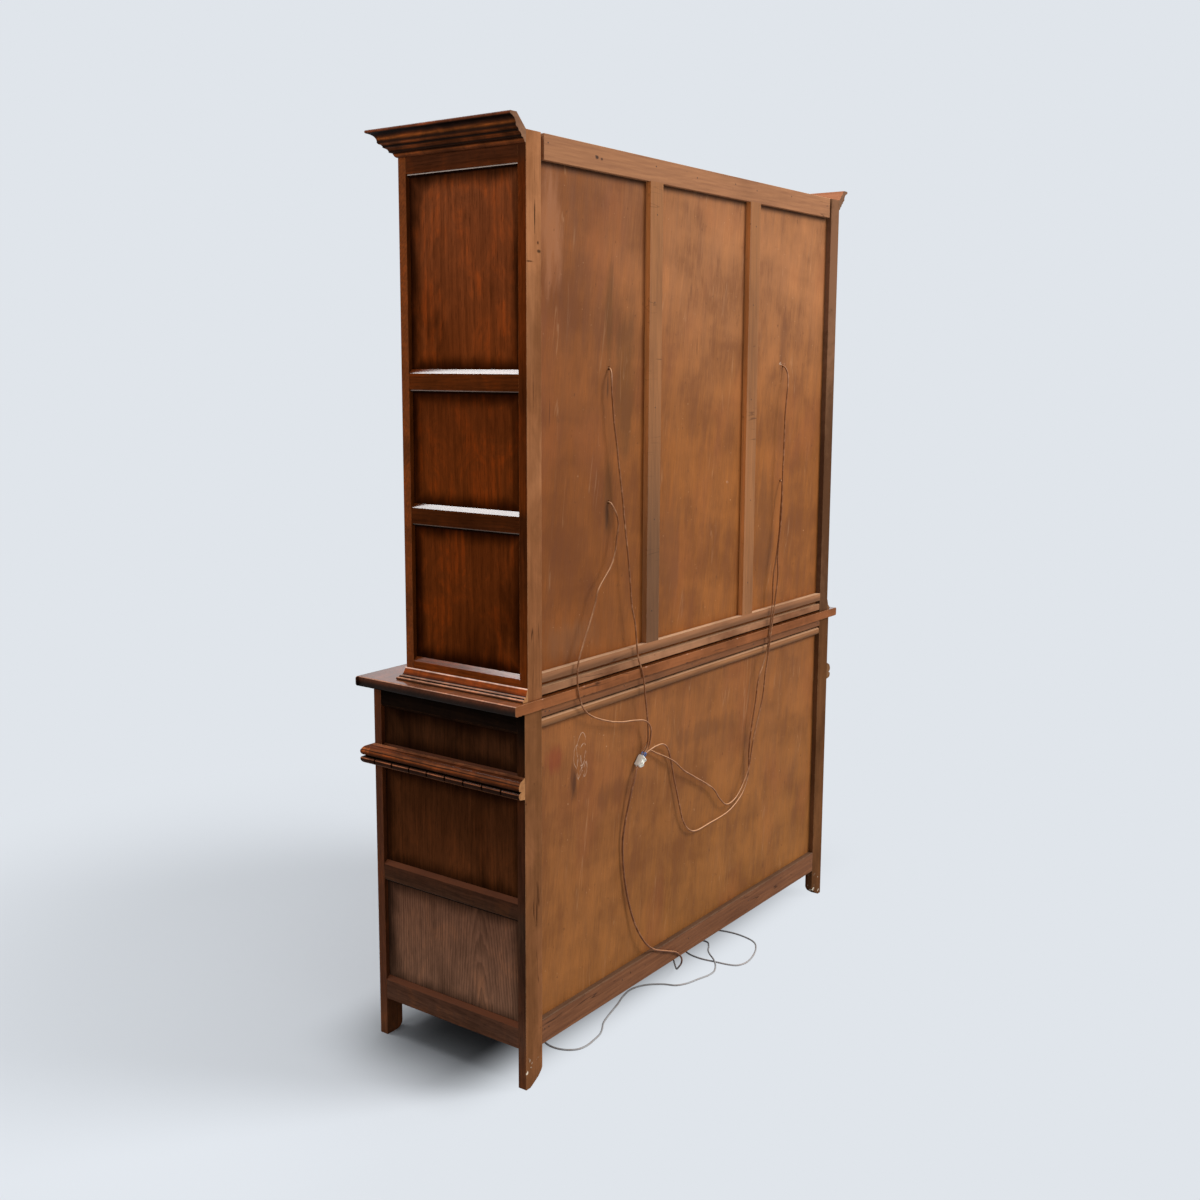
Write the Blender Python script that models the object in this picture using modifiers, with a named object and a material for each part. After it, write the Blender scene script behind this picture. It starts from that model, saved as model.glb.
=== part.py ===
"""Display sideboard: a glazed hutch that stands on a base of drawers and cupboards.

Frame: X runs along the sideboard, +X to the right as seen from the front, the front
faces -Y and +Z is up. The origin is on the floor, under the middle of the whole piece.
Sizes are in metres, apart from the section and route tables, which are in millimetres.
"""

import math

import bmesh
import bpy
import numpy as np
from mathutils import Matrix, Vector

MM = 0.001

# Clearances
GAP = 0.0003            # between pieces that touch
DOOR_GAP = 0.002        # round an inset door or drawer front
TRAY_GAP = 0.004        # between a drawer's tray and its opening, each side

# Boards and sheets
FRAME_T = 0.020         # posts, face frames, doors and drawer fronts
BOARD_T = 0.018
FLOOR_T = 0.016         # hutch floor
SIDE_SHEET_T = 0.008
SIDE_RECESS = 0.010     # from a side frame's outer face in to its sheet
BACK_RECESS = 0.0125    # from the posts' back in to the back sheets

# Base, from the floor up
BASE_HALF = 0.649
BASE_DEPTH = 0.411
BASE_POST_W = 0.052
BASE_STILE_W = 0.0465
FOOT_HEIGHT = 0.084
BOTTOM_RAIL_W = 0.043
CUPBOARD_HEIGHT = 0.478
MID_RAIL_W = 0.052
DRAWER_HEIGHT = 0.085
TOP_RAIL_W = 0.0402
BASE_SHELF_UP = 0.257   # shelf's top above the cupboard floor
BASE_SHELF_SETBACK = 0.016

# Tabletop
TOP_SIDE_OVER = 0.035
TOP_T = 0.021
TOP_BACK_OVER = 0.0055
TOP_FRONT_OVER = 0.0217
TOP_ROUND = 0.005

# Hutch, from the tabletop up
HUTCH_SIDE_IN = 0.0096  # hutch's side in from the base's
HUTCH_DEPTH = 0.323
HUTCH_POST_W = 0.0434
HUTCH_LOW_RAIL_W = 0.0462
HUTCH_OPENING = 0.965
HUTCH_TOP_RAIL_W = 0.0586
HUTCH_FLOOR_UP = 0.0052
HUTCH_LID_DROP = 0.0023
SHELF_UP = {"lower": 0.3502, "upper": 0.6192}
HUTCH_SHELF_SETBACK = 0.0077

# Uprights that divide both parts into three bays
MUNTIN_X = 0.207
MUNTIN_W = 0.046
BACK_MUNTIN_W = 0.047

# Side rails: how far a rail reaches past its shelf, its bevelled top and its bead
BASE_RAIL_BELOW = 0.027
BASE_RAIL_ABOVE = 0.006
HUTCH_RAIL_BELOW = 0.023
HUTCH_RAIL_ABOVE = 0.009
RAIL_BEVEL = 0.0085
RAIL_BEAD = 0.005
BEAD_SHAPE = [(0.45, 1), (0.62, 0.5), (0.65, 0)]   # shares of a rail's thickness and the bead
BEVEL_SHARE = 0.85      # of a rail's thickness that its bevel may take
MID_RAIL_FLAT = 0.043
HUTCH_SIDE_RAIL_W = 0.0417
HUTCH_SIDE_TOP_RAIL_W = 0.0566
RAIL_TENON = 0.004      # rail's length inside its post

# Back strips
BACK_TOP_RAIL_W = 0.0167
BATTEN_W = 0.017
BATTEN_DROP = 0.0055
BATTEN_SETBACK = 0.001
BATTEN_ROUND = 0.003
BACK_BOTTOM_RAIL_W = 0.054
BACK_BOTTOM_RAIL_DROP = 0.007
BACK_RAIL_CHAMFER = 0.0015
BACK_SHEET_UP = 0.001
HUTCH_BACK_RAIL_W = 0.0473
HUTCH_BACK_SLOT = 0.0093
HUTCH_STRIP_W = 0.019
HUTCH_STRIP_UP = 0.009
STRIP_SETBACK = 0.001

# Mouldings: distance out from the carcass and height above a level, in millimetres
WAIST_FRONT_SCALE = 1.316
WAIST = [(0, 49.5), (3, 48.5), (8, 45), (10.5, 44.5), (14, 42), (17.5, 37), (19, 31), (17.8, 26),
         (16.2, 22), (17.5, 19.5), (19, 16.5), (18, 12), (15, 7.5), (0, 5)]
PLINTH = [(0, 26.2), (1.5, 26.2), (2, 23.2), (4.5, 15.2), (6, 10.7), (10.5, 8.7), (11, 6.2),
          (12, 4.9), (14, 5.5), (15.6, 3.7), (15.6, 0), (0, 0)]
CORNICE = [(0, -24.3), (4, -22.1), (7.5, -16.1), (12, -14.6), (15.5, -8.1), (20.5, -5.1),
           (23.5, -0.6), (28.3, 2.9), (29.5, 8.4), (32, 14.4), (38.5, 19.4), (43.5, 21.4),
           (45, 23.9), (44, 26.4), (26, 26.4), (16, 16.4), (7, 5.9), (0, 0.4)]

# Cuts at the inner lower corner of a foot: across and up, in millimetres
BACK_FOOT_CUT = [(0, 30), (3, 24), (13, 14), (38, 0)]
FRONT_FOOT_CUT = [(0, 13), (1.1, 9), (8, 2.2), (19, 0)]

# Doors and drawers
DOOR_MEMBER = 0.042
GLASS_T = 0.004
GLASS_SETBACK = 0.0075
GROOVE_DEPTH = 0.008
CAME_W = 0.006
CAME_T = 0.002
CAME_COLUMNS = 3
CAME_ROWS = 7
PANEL_MEMBER = 0.058
PANEL_T = 0.008
PANEL_SETBACK = 0.0065
PANEL_TONGUE = 0.006
FIELD_MARGIN = 0.010
FIELD_SLOPE = 0.022
FIELD_RISE = 0.0045
DRAWER_FRONT_CHAMFER = 0.003
TRAY_BACK = 0.045
TRAY_WALL = 0.009
TRAY_FLOOR = 0.006
TRAY_H = 0.062
TRAY_TENON = 0.004
GUIDE_H = 0.018

# Lift-off hinges
KNUCKLE_R = 0.003
PIN_R = 0.0013
BORE_R = 0.0018
HINGE_HALF_H = 0.028
PIN_H = 0.025
PIN_ROOT = 0.005        # pin's length inside the lower knuckle
LEAF_PROUD = 0.0016
LEAF_SUNK = 0.002
LEAF_NECK_OUT = 0.0036  # hinge axis to where the leaf starts, at its door's face and in front
LEAF_NECK_FRONT = 0.00465
LEAF_END = 0.020
HINGE_INSET = 0.085     # hinge's middle from the door's end
KNUCKLE_ARC = (40, 350)
KNUCKLE_STEPS = 9
PIN_STEPS = 8

# Knobs: radius and distance out from the face, in millimetres, from the top down
KNOB = [(0, 24), (6, 23), (10.5, 19.5), (11, 15.5), (8, 11.5), (5.2, 8), (5.8, 4), (10, 2.2),
        (11, 0), (0, 0)]
KNOB_STEPS = 12
KNOB_FROM_EDGE = 0.024
HUTCH_KNOB_DROP = 0.12

# Lamps inside the hutch: radius and height, in millimetres, from the top down
LAMP = [(0, 75), (6, 73.5), (11, 68), (12, 60), (10, 50), (7, 42), (6.5, 37), (13, 36), (13, 9),
        (16, 6), (16, 0), (0, 0)]
LAMP_STEPS = 12
LAMP_SETBACK = 0.055    # lamp's axis from the posts' back
LAMP_WALL_R = 0.013

# Cable holes in the hutch's back: across, and up from the shelf's top
HOLE_R = 0.004
HOLE_STEPS = 12
HOLES = {
    "upper_right": (0.359, 0.0209),
    "lower_right": (0.358, 0.016),
    "upper_left": (-0.3795, 0.028),
    "lower_left": (-0.381, 0.014),
}

# Cords
FLEX_D = 0.0034
LEAD_D = 0.0042
FLEX_POINTS = 62
LEAD_POINTS = 80

# Terminal block on the base's back
TERMINAL_X = 0.246
TERMINAL_Z = 0.5915
TERMINAL_TILT = math.radians(-45)
TERMINAL_L = 0.026
TERMINAL_W = 0.015
TERMINAL_DEEP = 0.020
TERMINAL_CHAMFER = 0.001
WELL_R = 0.0021
WELL_DEEP = 0.003
WELL_ACROSS = 0.0036
WELL_ALONG = 0.0062
WELL_STEPS = 8

# Mains plug, lying flat behind the feet
PLUG_X = 0.352
PLUG_FROM_BACK = -0.134
PLUG_TURN = math.radians(187)
PLUG_L = 0.037
PLUG_W = 0.035
PLUG_T = 0.014
PLUG_CHAMFER = 0.003
PLUG_STEPS = 12
RELIEF_L = 0.022
RELIEF_TIP_R = 0.003
RELIEF_ROOT_R = 0.0048
PIN_SPREAD = 0.0095
PLUG_PIN_R = 0.002
PLUG_PIN_L = 0.019
PLUG_LAP = 0.002
LEAD_STRAIGHT = 0.016   # straight run of the lead before its plug

# Levels and planes that follow from the sizes above
TOP_HALF = BASE_HALF + TOP_SIDE_OVER
HUTCH_HALF = BASE_HALF - HUTCH_SIDE_IN
CUPBOARD_LOW = FOOT_HEIGHT + BOTTOM_RAIL_W
CUPBOARD_TOP = CUPBOARD_LOW + CUPBOARD_HEIGHT
DRAWER_LOW = CUPBOARD_TOP + MID_RAIL_W
DRAWER_TOP = DRAWER_LOW + DRAWER_HEIGHT
BASE_TOP = DRAWER_TOP + TOP_RAIL_W
TOP_LOW = BASE_TOP + GAP
TOP_HIGH = TOP_LOW + TOP_T
HUTCH_LOW = TOP_HIGH + GAP
HUTCH_OPEN_LOW = HUTCH_LOW + HUTCH_LOW_RAIL_W
HUTCH_OPEN_TOP = HUTCH_OPEN_LOW + HUTCH_OPENING
HUTCH_TOP = HUTCH_OPEN_TOP + HUTCH_TOP_RAIL_W
HUTCH_FLOOR_TOP = HUTCH_LOW + HUTCH_FLOOR_UP + FLOOR_T
SHELF_TOP = {level: HUTCH_LOW + up for level, up in SHELF_UP.items()}
BASE_SHELF_TOP = CUPBOARD_LOW + BASE_SHELF_UP

WAIST_REACH = WAIST_FRONT_SCALE * max(out for out, up in WAIST) * MM + GAP
BACK_Y = (BASE_DEPTH + WAIST_REACH - TOP_BACK_OVER) / 2
BASE_FRONT = BACK_Y - BASE_DEPTH
HUTCH_FRONT = BACK_Y - HUTCH_DEPTH
BASE_INNER = BASE_HALF - SIDE_RECESS - SIDE_SHEET_T - GAP
HUTCH_INNER = HUTCH_HALF - SIDE_RECESS - SIDE_SHEET_T - GAP
BASE_POST_IN = BASE_HALF - BASE_POST_W
HUTCH_POST_IN = HUTCH_HALF - HUTCH_POST_W
BASE_STILE_IN = BASE_HALF - BASE_STILE_W
MUNTIN_IN = MUNTIN_X - MUNTIN_W / 2
MUNTIN_OUT = MUNTIN_X + MUNTIN_W / 2
BEHIND_POSTS = BACK_Y - FRAME_T - GAP          # back edge of what stands in front of the posts
SHEET_OUT = BACK_Y - BACK_RECESS               # outer face of the back sheets
SHEET_IN = BACK_Y - FRAME_T + GAP              # inner face of the back sheets
STRIP_IN = SHEET_OUT + GAP                     # inner face of the strips on them
HINGE_OUT = KNUCKLE_R + GAP                    # hinge axis in front of the face
PLANE_TURNS = {"xy": (0, 0, 0), "xz": (math.pi / 2, 0, 0), "yz": (math.pi / 2, 0, math.pi / 2)}
PLANE_NORMAL = {"xy": "z", "xz": "y", "yz": "x"}

FINISHES = {
    "stained_oak": ((0.095, 0.030, 0.010), 0.38, 0.0),
    "oak_strip": ((0.330, 0.180, 0.105), 0.60, 0.0),
    "back_ply": ((0.270, 0.120, 0.055), 0.65, 0.0),
    "raw_board": ((0.380, 0.230, 0.120), 0.70, 0.0),
    "pane_glass": ((0.900, 0.930, 0.920), 0.05, 0.0),
    "lead_came": ((0.120, 0.120, 0.125), 0.45, 0.9),
    "lamp_plastic": ((0.750, 0.730, 0.680), 0.40, 0.0),
    "brown_flex": ((0.130, 0.050, 0.020), 0.45, 0.0),
    "terminal_plastic": ((0.760, 0.740, 0.620), 0.45, 0.0),
    "plug_plastic": ((0.110, 0.045, 0.020), 0.40, 0.0),
}


def make_collection(name):
    group = bpy.data.collections.new(name)
    bpy.context.scene.collection.children.link(group)
    return group


def make_finish(name):
    colour, roughness, metallic = FINISHES[name]
    finish = bpy.data.materials.new(name)
    finish.use_nodes = True
    finish.diffuse_color = (*colour, 1.0)
    shader = finish.node_tree.nodes["Principled BSDF"]
    shader.inputs["Base Color"].default_value = (*colour, 1.0)
    shader.inputs["Roughness"].default_value = roughness
    shader.inputs["Metallic"].default_value = metallic
    return finish


for old in list(bpy.data.objects):
    bpy.data.objects.remove(old, do_unlink=True)
PARTS = make_collection("display_sideboard")
TOOLS = make_collection("cutters")
MATERIALS = {name: make_finish(name) for name in FINISHES}


def add_object(name, data, finish):
    """Puts a piece among the parts, or a helper, which has no finish, among the cutters."""
    piece = bpy.data.objects.new(name, data)
    if finish:
        data.materials.append(MATERIALS[finish])
        PARTS.objects.link(piece)
    else:
        TOOLS.objects.link(piece)
        piece.hide_render = True
        piece.display_type = "WIRE"
    return piece


def add_mesh(name, bm, finish):
    mesh = bpy.data.meshes.new(name)
    bm.to_mesh(mesh)
    bm.free()
    return add_object(name, mesh, finish)


def add_pivot(name, place, turn=(0, 0, 0)):
    """An empty that stands on a joint's axis, or where a small assembly is placed."""
    pivot = bpy.data.objects.new(name, None)
    pivot.location = place
    pivot.rotation_euler = turn
    TOOLS.objects.link(pivot)
    return pivot


def hang_on(piece, pivot):
    """Parents a piece to an unturned pivot and leaves it where it is."""
    piece.location = Vector(piece.location) - Vector(pivot.location)
    piece.parent = pivot


def cube(low, high):
    """A bmesh box about its own middle, and that middle."""
    size = Vector(high) - Vector(low)
    bm = bmesh.new()
    bmesh.ops.create_cube(bm, size=1.0)
    bmesh.ops.scale(bm, vec=size, verts=bm.verts)
    return bm, (Vector(low) + Vector(high)) / 2


def block(name, low, high, finish=None, chamfer=0.0, chosen=None, steps=1):
    """A box between two corners, with some of its edges chamfered or rounded."""
    bm, middle = cube(low, high)
    if chamfer:
        edges = [edge for edge in bm.edges if chosen is None or chosen(edge)]
        bmesh.ops.bevel(bm, geom=edges, offset=chamfer, segments=steps, profile=0.5, affect="EDGES")
    piece = add_mesh(name, bm, finish)
    piece.location = middle
    return piece


def fielded_panel(name, low, high, margin, slope, rise):
    """A slab whose front face, towards -Y, carries a raised field with sloping borders."""
    bm, middle = cube(low, high)
    front = min(bm.faces, key=lambda face: face.calc_center_median().y)
    bmesh.ops.inset_region(bm, faces=[front], thickness=margin)
    bmesh.ops.inset_region(bm, faces=[front], thickness=slope, depth=rise)
    piece = add_mesh(name, bm, None)
    piece.location = middle
    return piece


def plate(name, plane, outlines, low, high, finish=None):
    """A flat piece: closed outlines in a plane, filled between two levels; an inner one is a hole."""
    curve = bpy.data.curves.new(name, "CURVE")
    curve.dimensions = "2D"
    curve.fill_mode = "BOTH"
    curve.extrude = (high - low) / 2
    for outline in outlines:
        spline = curve.splines.new("POLY")
        spline.points.add(len(outline) - 1)
        for point, (u, v) in zip(spline.points, outline):
            point.co = (u, v, 0, 1)
        spline.use_cyclic_u = True
    piece = add_object(name, curve, finish)
    piece.rotation_euler = PLANE_TURNS[plane]
    piece.location["xyz".index(PLANE_NORMAL[plane])] = (low + high) / 2
    return piece


def as_mesh(piece):
    """The same piece as a mesh, with a curve's loose caps joined on, so that it can be cut."""
    bpy.context.view_layer.update()
    graph = bpy.context.evaluated_depsgraph_get()
    mesh = bpy.data.meshes.new_from_object(piece.evaluated_get(graph))
    bm = bmesh.new()
    bm.from_mesh(mesh)
    bmesh.ops.remove_doubles(bm, verts=bm.verts, dist=1e-6)
    bmesh.ops.recalc_face_normals(bm, faces=bm.faces)
    bm.to_mesh(mesh)
    bm.free()
    name = piece.name
    place = piece.matrix_world.copy()
    groups = list(piece.users_collection)
    helper = piece.hide_render
    bpy.data.objects.remove(piece)
    solid = bpy.data.objects.new(name, mesh)
    solid.matrix_world = place
    solid.hide_render = helper
    solid.display_type = "WIRE" if helper else "TEXTURED"
    for group in groups:
        group.objects.link(solid)
    return solid


def gathered(name, pieces):
    """One helper that holds several solids which don't meet."""
    bpy.context.view_layer.update()
    bm = bmesh.new()
    for piece in pieces:
        copy = piece.data.copy()
        copy.transform(piece.matrix_world)
        bm.from_mesh(copy)
        bpy.data.objects.remove(piece)
    return add_mesh(name, bm, None)


def combine(piece, tool, operation):
    """Joins a helper to a piece, or cuts it away."""
    step = piece.modifiers.new(tool.name, "BOOLEAN")
    step.operation = operation
    step.solver = "EXACT"
    step.object = tool


def turned(name, profile, steps, finish):
    """A turned piece: radius and height pairs in millimetres, from the top down, spun about Z."""
    mesh = bpy.data.meshes.new(name)
    edges = [(k, k + 1) for k in range(len(profile) - 1)]
    mesh.from_pydata([(radius * MM, 0, up * MM) for radius, up in profile], edges, [])
    piece = add_object(name, mesh, finish)
    screw = piece.modifiers.new("turn", "SCREW")
    screw.steps = steps
    screw.render_steps = steps
    screw.use_merge_vertices = True
    screw.merge_threshold = 0.00001
    return piece


def cylinder(name, radius, near, far, steps, direction="z", end_radius=None):
    """A round bar or cone along one axis, between the middles of its two ends."""
    turn = {"z": Matrix(), "x": Matrix.Rotation(math.pi / 2, 4, "Y"),
            "y": Matrix.Rotation(-math.pi / 2, 4, "X")}[direction]
    bm = bmesh.new()
    bmesh.ops.create_cone(bm, cap_ends=True, segments=steps, radius1=radius,
                          radius2=radius if end_radius is None else end_radius,
                          depth=(Vector(far) - Vector(near)).length, matrix=turn)
    piece = add_mesh(name, bm, None)
    piece.location = (Vector(near) + Vector(far)) / 2
    return piece


def rect(left, low, right, high):
    return [(left, low), (right, low), (right, high), (left, high)]


def arc(centre, radius, start, end, steps):
    """Points on a circle's arc, with angles in degrees."""
    angles = [math.radians(start + (end - start) * k / steps) for k in range(steps + 1)]
    return [(centre[0] + radius * math.cos(a), centre[1] + radius * math.sin(a)) for a in angles]


def circle(centre, radius, steps):
    return arc(centre, radius, 0, 360, steps)[:-1]


def both_sides(half):
    """A closed outline from its +X half."""
    return half + [(-u, v) for u, v in reversed(half)]


def moulding(name, section, level, half, front, front_scale):
    """A moulding round three sides: its section at each end and at the two mitred corners."""
    rings = []
    for side, at_front in [(1, False), (1, True), (-1, True), (-1, False)]:
        ring = []
        for out, up in section:
            y = front - GAP - out * MM * front_scale if at_front else BACK_Y
            ring.append((side * (half + GAP + out * MM), y, level + up * MM))
        rings.append(ring)
    bm = bmesh.new()
    rows = [[bm.verts.new(point) for point in ring] for ring in rings]
    for row, following in zip(rows, rows[1:]):
        for k in range(len(row)):
            bm.faces.new((row[k], row[k - 1], following[k - 1], following[k]))
    bm.faces.new(rows[0])
    bm.faces.new(rows[-1])
    bmesh.ops.recalc_face_normals(bm, faces=bm.faces)
    return add_mesh(name, bm, "stained_oak")


def rail_section(side, half, low, high, bevel, bead):
    """Section of a side rail: flat outer face, sloping top and a small bead under it."""
    outer = half - GAP
    inner = half - SIDE_RECESS + GAP
    thick = outer - inner
    section = [(inner, low - bead)]
    if bead:
        section += [(inner + across * thick, low - down * bead) for across, down in BEAD_SHAPE]
    section += [(outer, low), (outer, high)]
    if bevel:
        section += [(outer - min(bevel, BEVEL_SHARE * thick), high + bevel)]
    section += [(inner, high + bevel)]
    return [(side * u, v) for u, v in section]


def side_frame(name, side, half, post_in, low, top, front, rails, foot_cut):
    """A back post with its side rails tenoned into it."""
    outline = [(half, low), (half, top), (post_in, top)]
    outline += [(post_in + across * MM, low + up * MM) for across, up in foot_cut]
    if not foot_cut:
        outline += [(post_in, low)]
    outline = [(side * u, v) for u, v in outline]
    post = as_mesh(plate(name, "xz", [outline], BACK_Y - FRAME_T, BACK_Y, "stained_oak"))
    sections = [rail_section(side, half, *rail) for rail in rails]
    tenon_end = BACK_Y - FRAME_T + RAIL_TENON
    bars = as_mesh(plate(name + "_rails", "xz", sections, front + FRAME_T + GAP, tenon_end))
    combine(post, bars, "UNION")


def side_sheet(name, side, half, low, top, front):
    outer = side * (half - SIDE_RECESS)
    inner = side * (half - SIDE_RECESS - SIDE_SHEET_T)
    block(name, (min(outer, inner), front + FRAME_T + GAP, low),
          (max(outer, inner), BEHIND_POSTS, top), "stained_oak")


def hinge_half(name, axis_x, axis_y, side, low, high, bored):
    """One leaf and knuckle of a hinge; side points from the axis to the leaf."""
    face = HINGE_OUT
    section = arc((0, 0), KNUCKLE_R, *KNUCKLE_ARC, KNUCKLE_STEPS)
    section += [(LEAF_NECK_FRONT, face - LEAF_PROUD), (LEAF_END, face - LEAF_PROUD),
                (LEAF_END, face + LEAF_SUNK), (LEAF_NECK_OUT, face + LEAF_SUNK),
                (LEAF_NECK_OUT, KNUCKLE_R - GAP)]
    outlines = [section]
    if bored:
        outlines.append(circle((0, 0), BORE_R, HOLE_STEPS))
    outlines = [[(axis_x + side * u, axis_y + v) for u, v in outline] for outline in outlines]
    return as_mesh(plate(name, "xy", outlines, low, high))


def hinge_heights(low, high):
    return [low + HINGE_INSET, high - HINGE_INSET]


def hinged(door, frame_halves, frame_pins, axis, out, low, high):
    """Gives a door its upper hinge halves, and lists the lower halves and pins for its frame."""
    axis_x, axis_y = axis
    upper = []
    for k, level in enumerate(hinge_heights(low, high)):
        tag = f"{door.name}_hinge_{k}"
        lower_low = level - HINGE_HALF_H
        upper.append(hinge_half(tag + "_upper", axis_x, axis_y, -out, level + GAP,
                                level + HINGE_HALF_H, True))
        frame_halves.append(hinge_half(tag + "_lower", axis_x, axis_y, out, lower_low, level, False))
        frame_pins.append(cylinder(tag + "_pin", PIN_R, (axis_x, axis_y, level - PIN_ROOT),
                                   (axis_x, axis_y, level + PIN_H), PIN_STEPS))
    combine(door, gathered(door.name + "_hinges", upper), "UNION")


def add_knob(name, x, face_y, z, pivot):
    knob = turned(name, KNOB, KNOB_STEPS, "stained_oak")
    knob.rotation_euler = (math.pi / 2, 0, 0)
    knob.location = (x, face_y - GAP, z)
    hang_on(knob, pivot)


def came_lattice(width, height):
    """Outlines of a leaded light: a border, and the panes as diamonds cut by that border.

    The cells are diamonds of half width a and half height c. Each pane is its cell shrunk
    about its middle until half a came's width is left along every side.
    """
    a = (width / 2 - CAME_W) / CAME_COLUMNS
    c = (height / 2 - CAME_W) / CAME_ROWS
    to_side = a * c / math.hypot(a, c)
    share = (to_side - CAME_W / 2) / to_side
    edge_x = width / 2 - CAME_W
    edge_z = height / 2 - CAME_W
    outlines = [rect(-width / 2, -height / 2, width / 2, height / 2)]
    corners = [(a * share, 0), (0, c * share), (-a * share, 0), (0, -c * share)]
    for column in range(2 * CAME_COLUMNS + 1):
        for row in range(2 * CAME_ROWS + 1):
            if (column + row) % 2:
                continue
            x = column * a - edge_x
            z = row * c - edge_z
            pane = []
            for k, (du, dv) in enumerate(corners):
                inside = abs(x + du) <= edge_x + a / 100 and abs(z + dv) <= edge_z + c / 100
                if inside:
                    pane.append((x + du, z + dv))
                elif abs(x + du) > edge_x and column in (0, 2 * CAME_COLUMNS) \
                        and row in (0, 2 * CAME_ROWS):
                    pane.append((x, z))
            if len(pane) > 3 and pane[0] == pane[-1]:
                pane = pane[:-1]
            outlines.append(pane)
    return outlines


def hutch_door(tag, side, frame_halves, frame_pins):
    """A leaded-glass door, hinged at its outer edge."""
    near = MUNTIN_OUT + DOOR_GAP
    far = HUTCH_POST_IN - DOOR_GAP
    left, right = sorted((side * near, side * far))
    low = HUTCH_OPEN_LOW + DOOR_GAP
    high = HUTCH_OPEN_TOP - DOOR_GAP
    light = (left + DOOR_MEMBER, low + DOOR_MEMBER, right - DOOR_MEMBER, high - DOOR_MEMBER)
    door = as_mesh(plate("hutch_door_" + tag, "xz", [rect(left, low, right, high), rect(*light)],
                         HUTCH_FRONT, HUTCH_FRONT + FRAME_T, "stained_oak"))
    glass_front = HUTCH_FRONT + GLASS_SETBACK
    groove = block(door.name + "_groove",
                   (light[0] - GROOVE_DEPTH, glass_front - GAP, light[1] - GROOVE_DEPTH),
                   (light[2] + GROOVE_DEPTH, glass_front + GLASS_T + GAP, light[3] + GROOVE_DEPTH))
    combine(door, groove, "DIFFERENCE")
    axis = (side * (HUTCH_POST_IN - DOOR_GAP / 2), HUTCH_FRONT - HINGE_OUT)
    hinged(door, frame_halves, frame_pins, axis, side, low, high)
    pivot = add_pivot("hutch_door_axis_" + tag, (*axis, low))
    hang_on(door, pivot)
    lap = GROOVE_DEPTH - GAP
    glass = block("hutch_door_glass_" + tag, (light[0] - lap, glass_front, light[1] - lap),
                  (light[2] + lap, glass_front + GLASS_T, light[3] + lap), "pane_glass")
    hang_on(glass, pivot)
    lattice = came_lattice(light[2] - light[0] - 2 * GAP, light[3] - light[1] - 2 * GAP)
    came_back = glass_front - GAP
    cames = plate("hutch_door_cames_" + tag, "xz", lattice, came_back - CAME_T, came_back, "lead_came")
    cames.location.x = (light[0] + light[2]) / 2
    cames.location.z = (light[1] + light[3]) / 2
    hang_on(cames, pivot)
    knob_z = (low + high) / 2 - HUTCH_KNOB_DROP
    add_knob("hutch_door_knob_" + tag, side * (near + KNOB_FROM_EDGE), HUTCH_FRONT, knob_z, pivot)


def base_door(tag, left, right, hinge_side, frame_halves, frame_pins):
    """A framed door with a fielded panel; hinge_side is -1 for its left edge, 1 for its right."""
    left += DOOR_GAP
    right -= DOOR_GAP
    low = CUPBOARD_LOW + DOOR_GAP
    high = CUPBOARD_TOP - DOOR_GAP
    inner = (left + PANEL_MEMBER, low + PANEL_MEMBER, right - PANEL_MEMBER, high - PANEL_MEMBER)
    door = as_mesh(plate("base_door_" + tag, "xz", [rect(left, low, right, high), rect(*inner)],
                         BASE_FRONT, BASE_FRONT + FRAME_T, "stained_oak"))
    panel_front = BASE_FRONT + PANEL_SETBACK
    lap = PANEL_TONGUE
    panel = fielded_panel(door.name + "_panel", (inner[0] - lap, panel_front, inner[1] - lap),
                          (inner[2] + lap, panel_front + PANEL_T, inner[3] + lap),
                          FIELD_MARGIN + lap, FIELD_SLOPE, FIELD_RISE)
    combine(door, panel, "UNION")
    hinge_x = left - DOOR_GAP / 2 if hinge_side < 0 else right + DOOR_GAP / 2
    axis = (hinge_x, BASE_FRONT - HINGE_OUT)
    hinged(door, frame_halves, frame_pins, axis, hinge_side, low, high)
    pivot = add_pivot("base_door_axis_" + tag, (*axis, low))
    hang_on(door, pivot)
    knob_x = right - KNOB_FROM_EDGE if hinge_side < 0 else left + KNOB_FROM_EDGE
    add_knob("base_door_knob_" + tag, knob_x, BASE_FRONT, (low + high) / 2, pivot)


def drawer(tag, left, right):
    """A drawer front with its open tray behind it."""
    low = DRAWER_LOW + DOOR_GAP
    high = DRAWER_TOP - DOOR_GAP
    middle = (left + right) / 2
    tray_left = left + TRAY_GAP
    tray_right = right - TRAY_GAP
    front_back = BASE_FRONT + FRAME_T

    def on_front_face(edge):
        return all(vert.co.y < 0 for vert in edge.verts)

    front = block("drawer_" + tag, (left + DOOR_GAP, BASE_FRONT, low), (right - DOOR_GAP, front_back, high),
                  "stained_oak", DRAWER_FRONT_CHAMFER, on_front_face)
    tray_low = DRAWER_LOW + GAP
    tray = block(front.name + "_tray", (tray_left, front_back - TRAY_TENON, tray_low),
                 (tray_right, BACK_Y - TRAY_BACK, tray_low + TRAY_H))
    room = block(front.name + "_room", (tray_left + TRAY_WALL, front_back, tray_low + TRAY_FLOOR),
                 (tray_right - TRAY_WALL, BACK_Y - TRAY_BACK - TRAY_WALL, tray_low + 2 * TRAY_H))
    combine(front, tray, "UNION")
    combine(front, room, "DIFFERENCE")
    pivot = add_pivot("drawer_slide_" + tag, (middle, BASE_FRONT, (low + high) / 2))
    hang_on(front, pivot)
    add_knob("drawer_knob_" + tag, middle, BASE_FRONT, (low + high) / 2, pivot)


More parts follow.
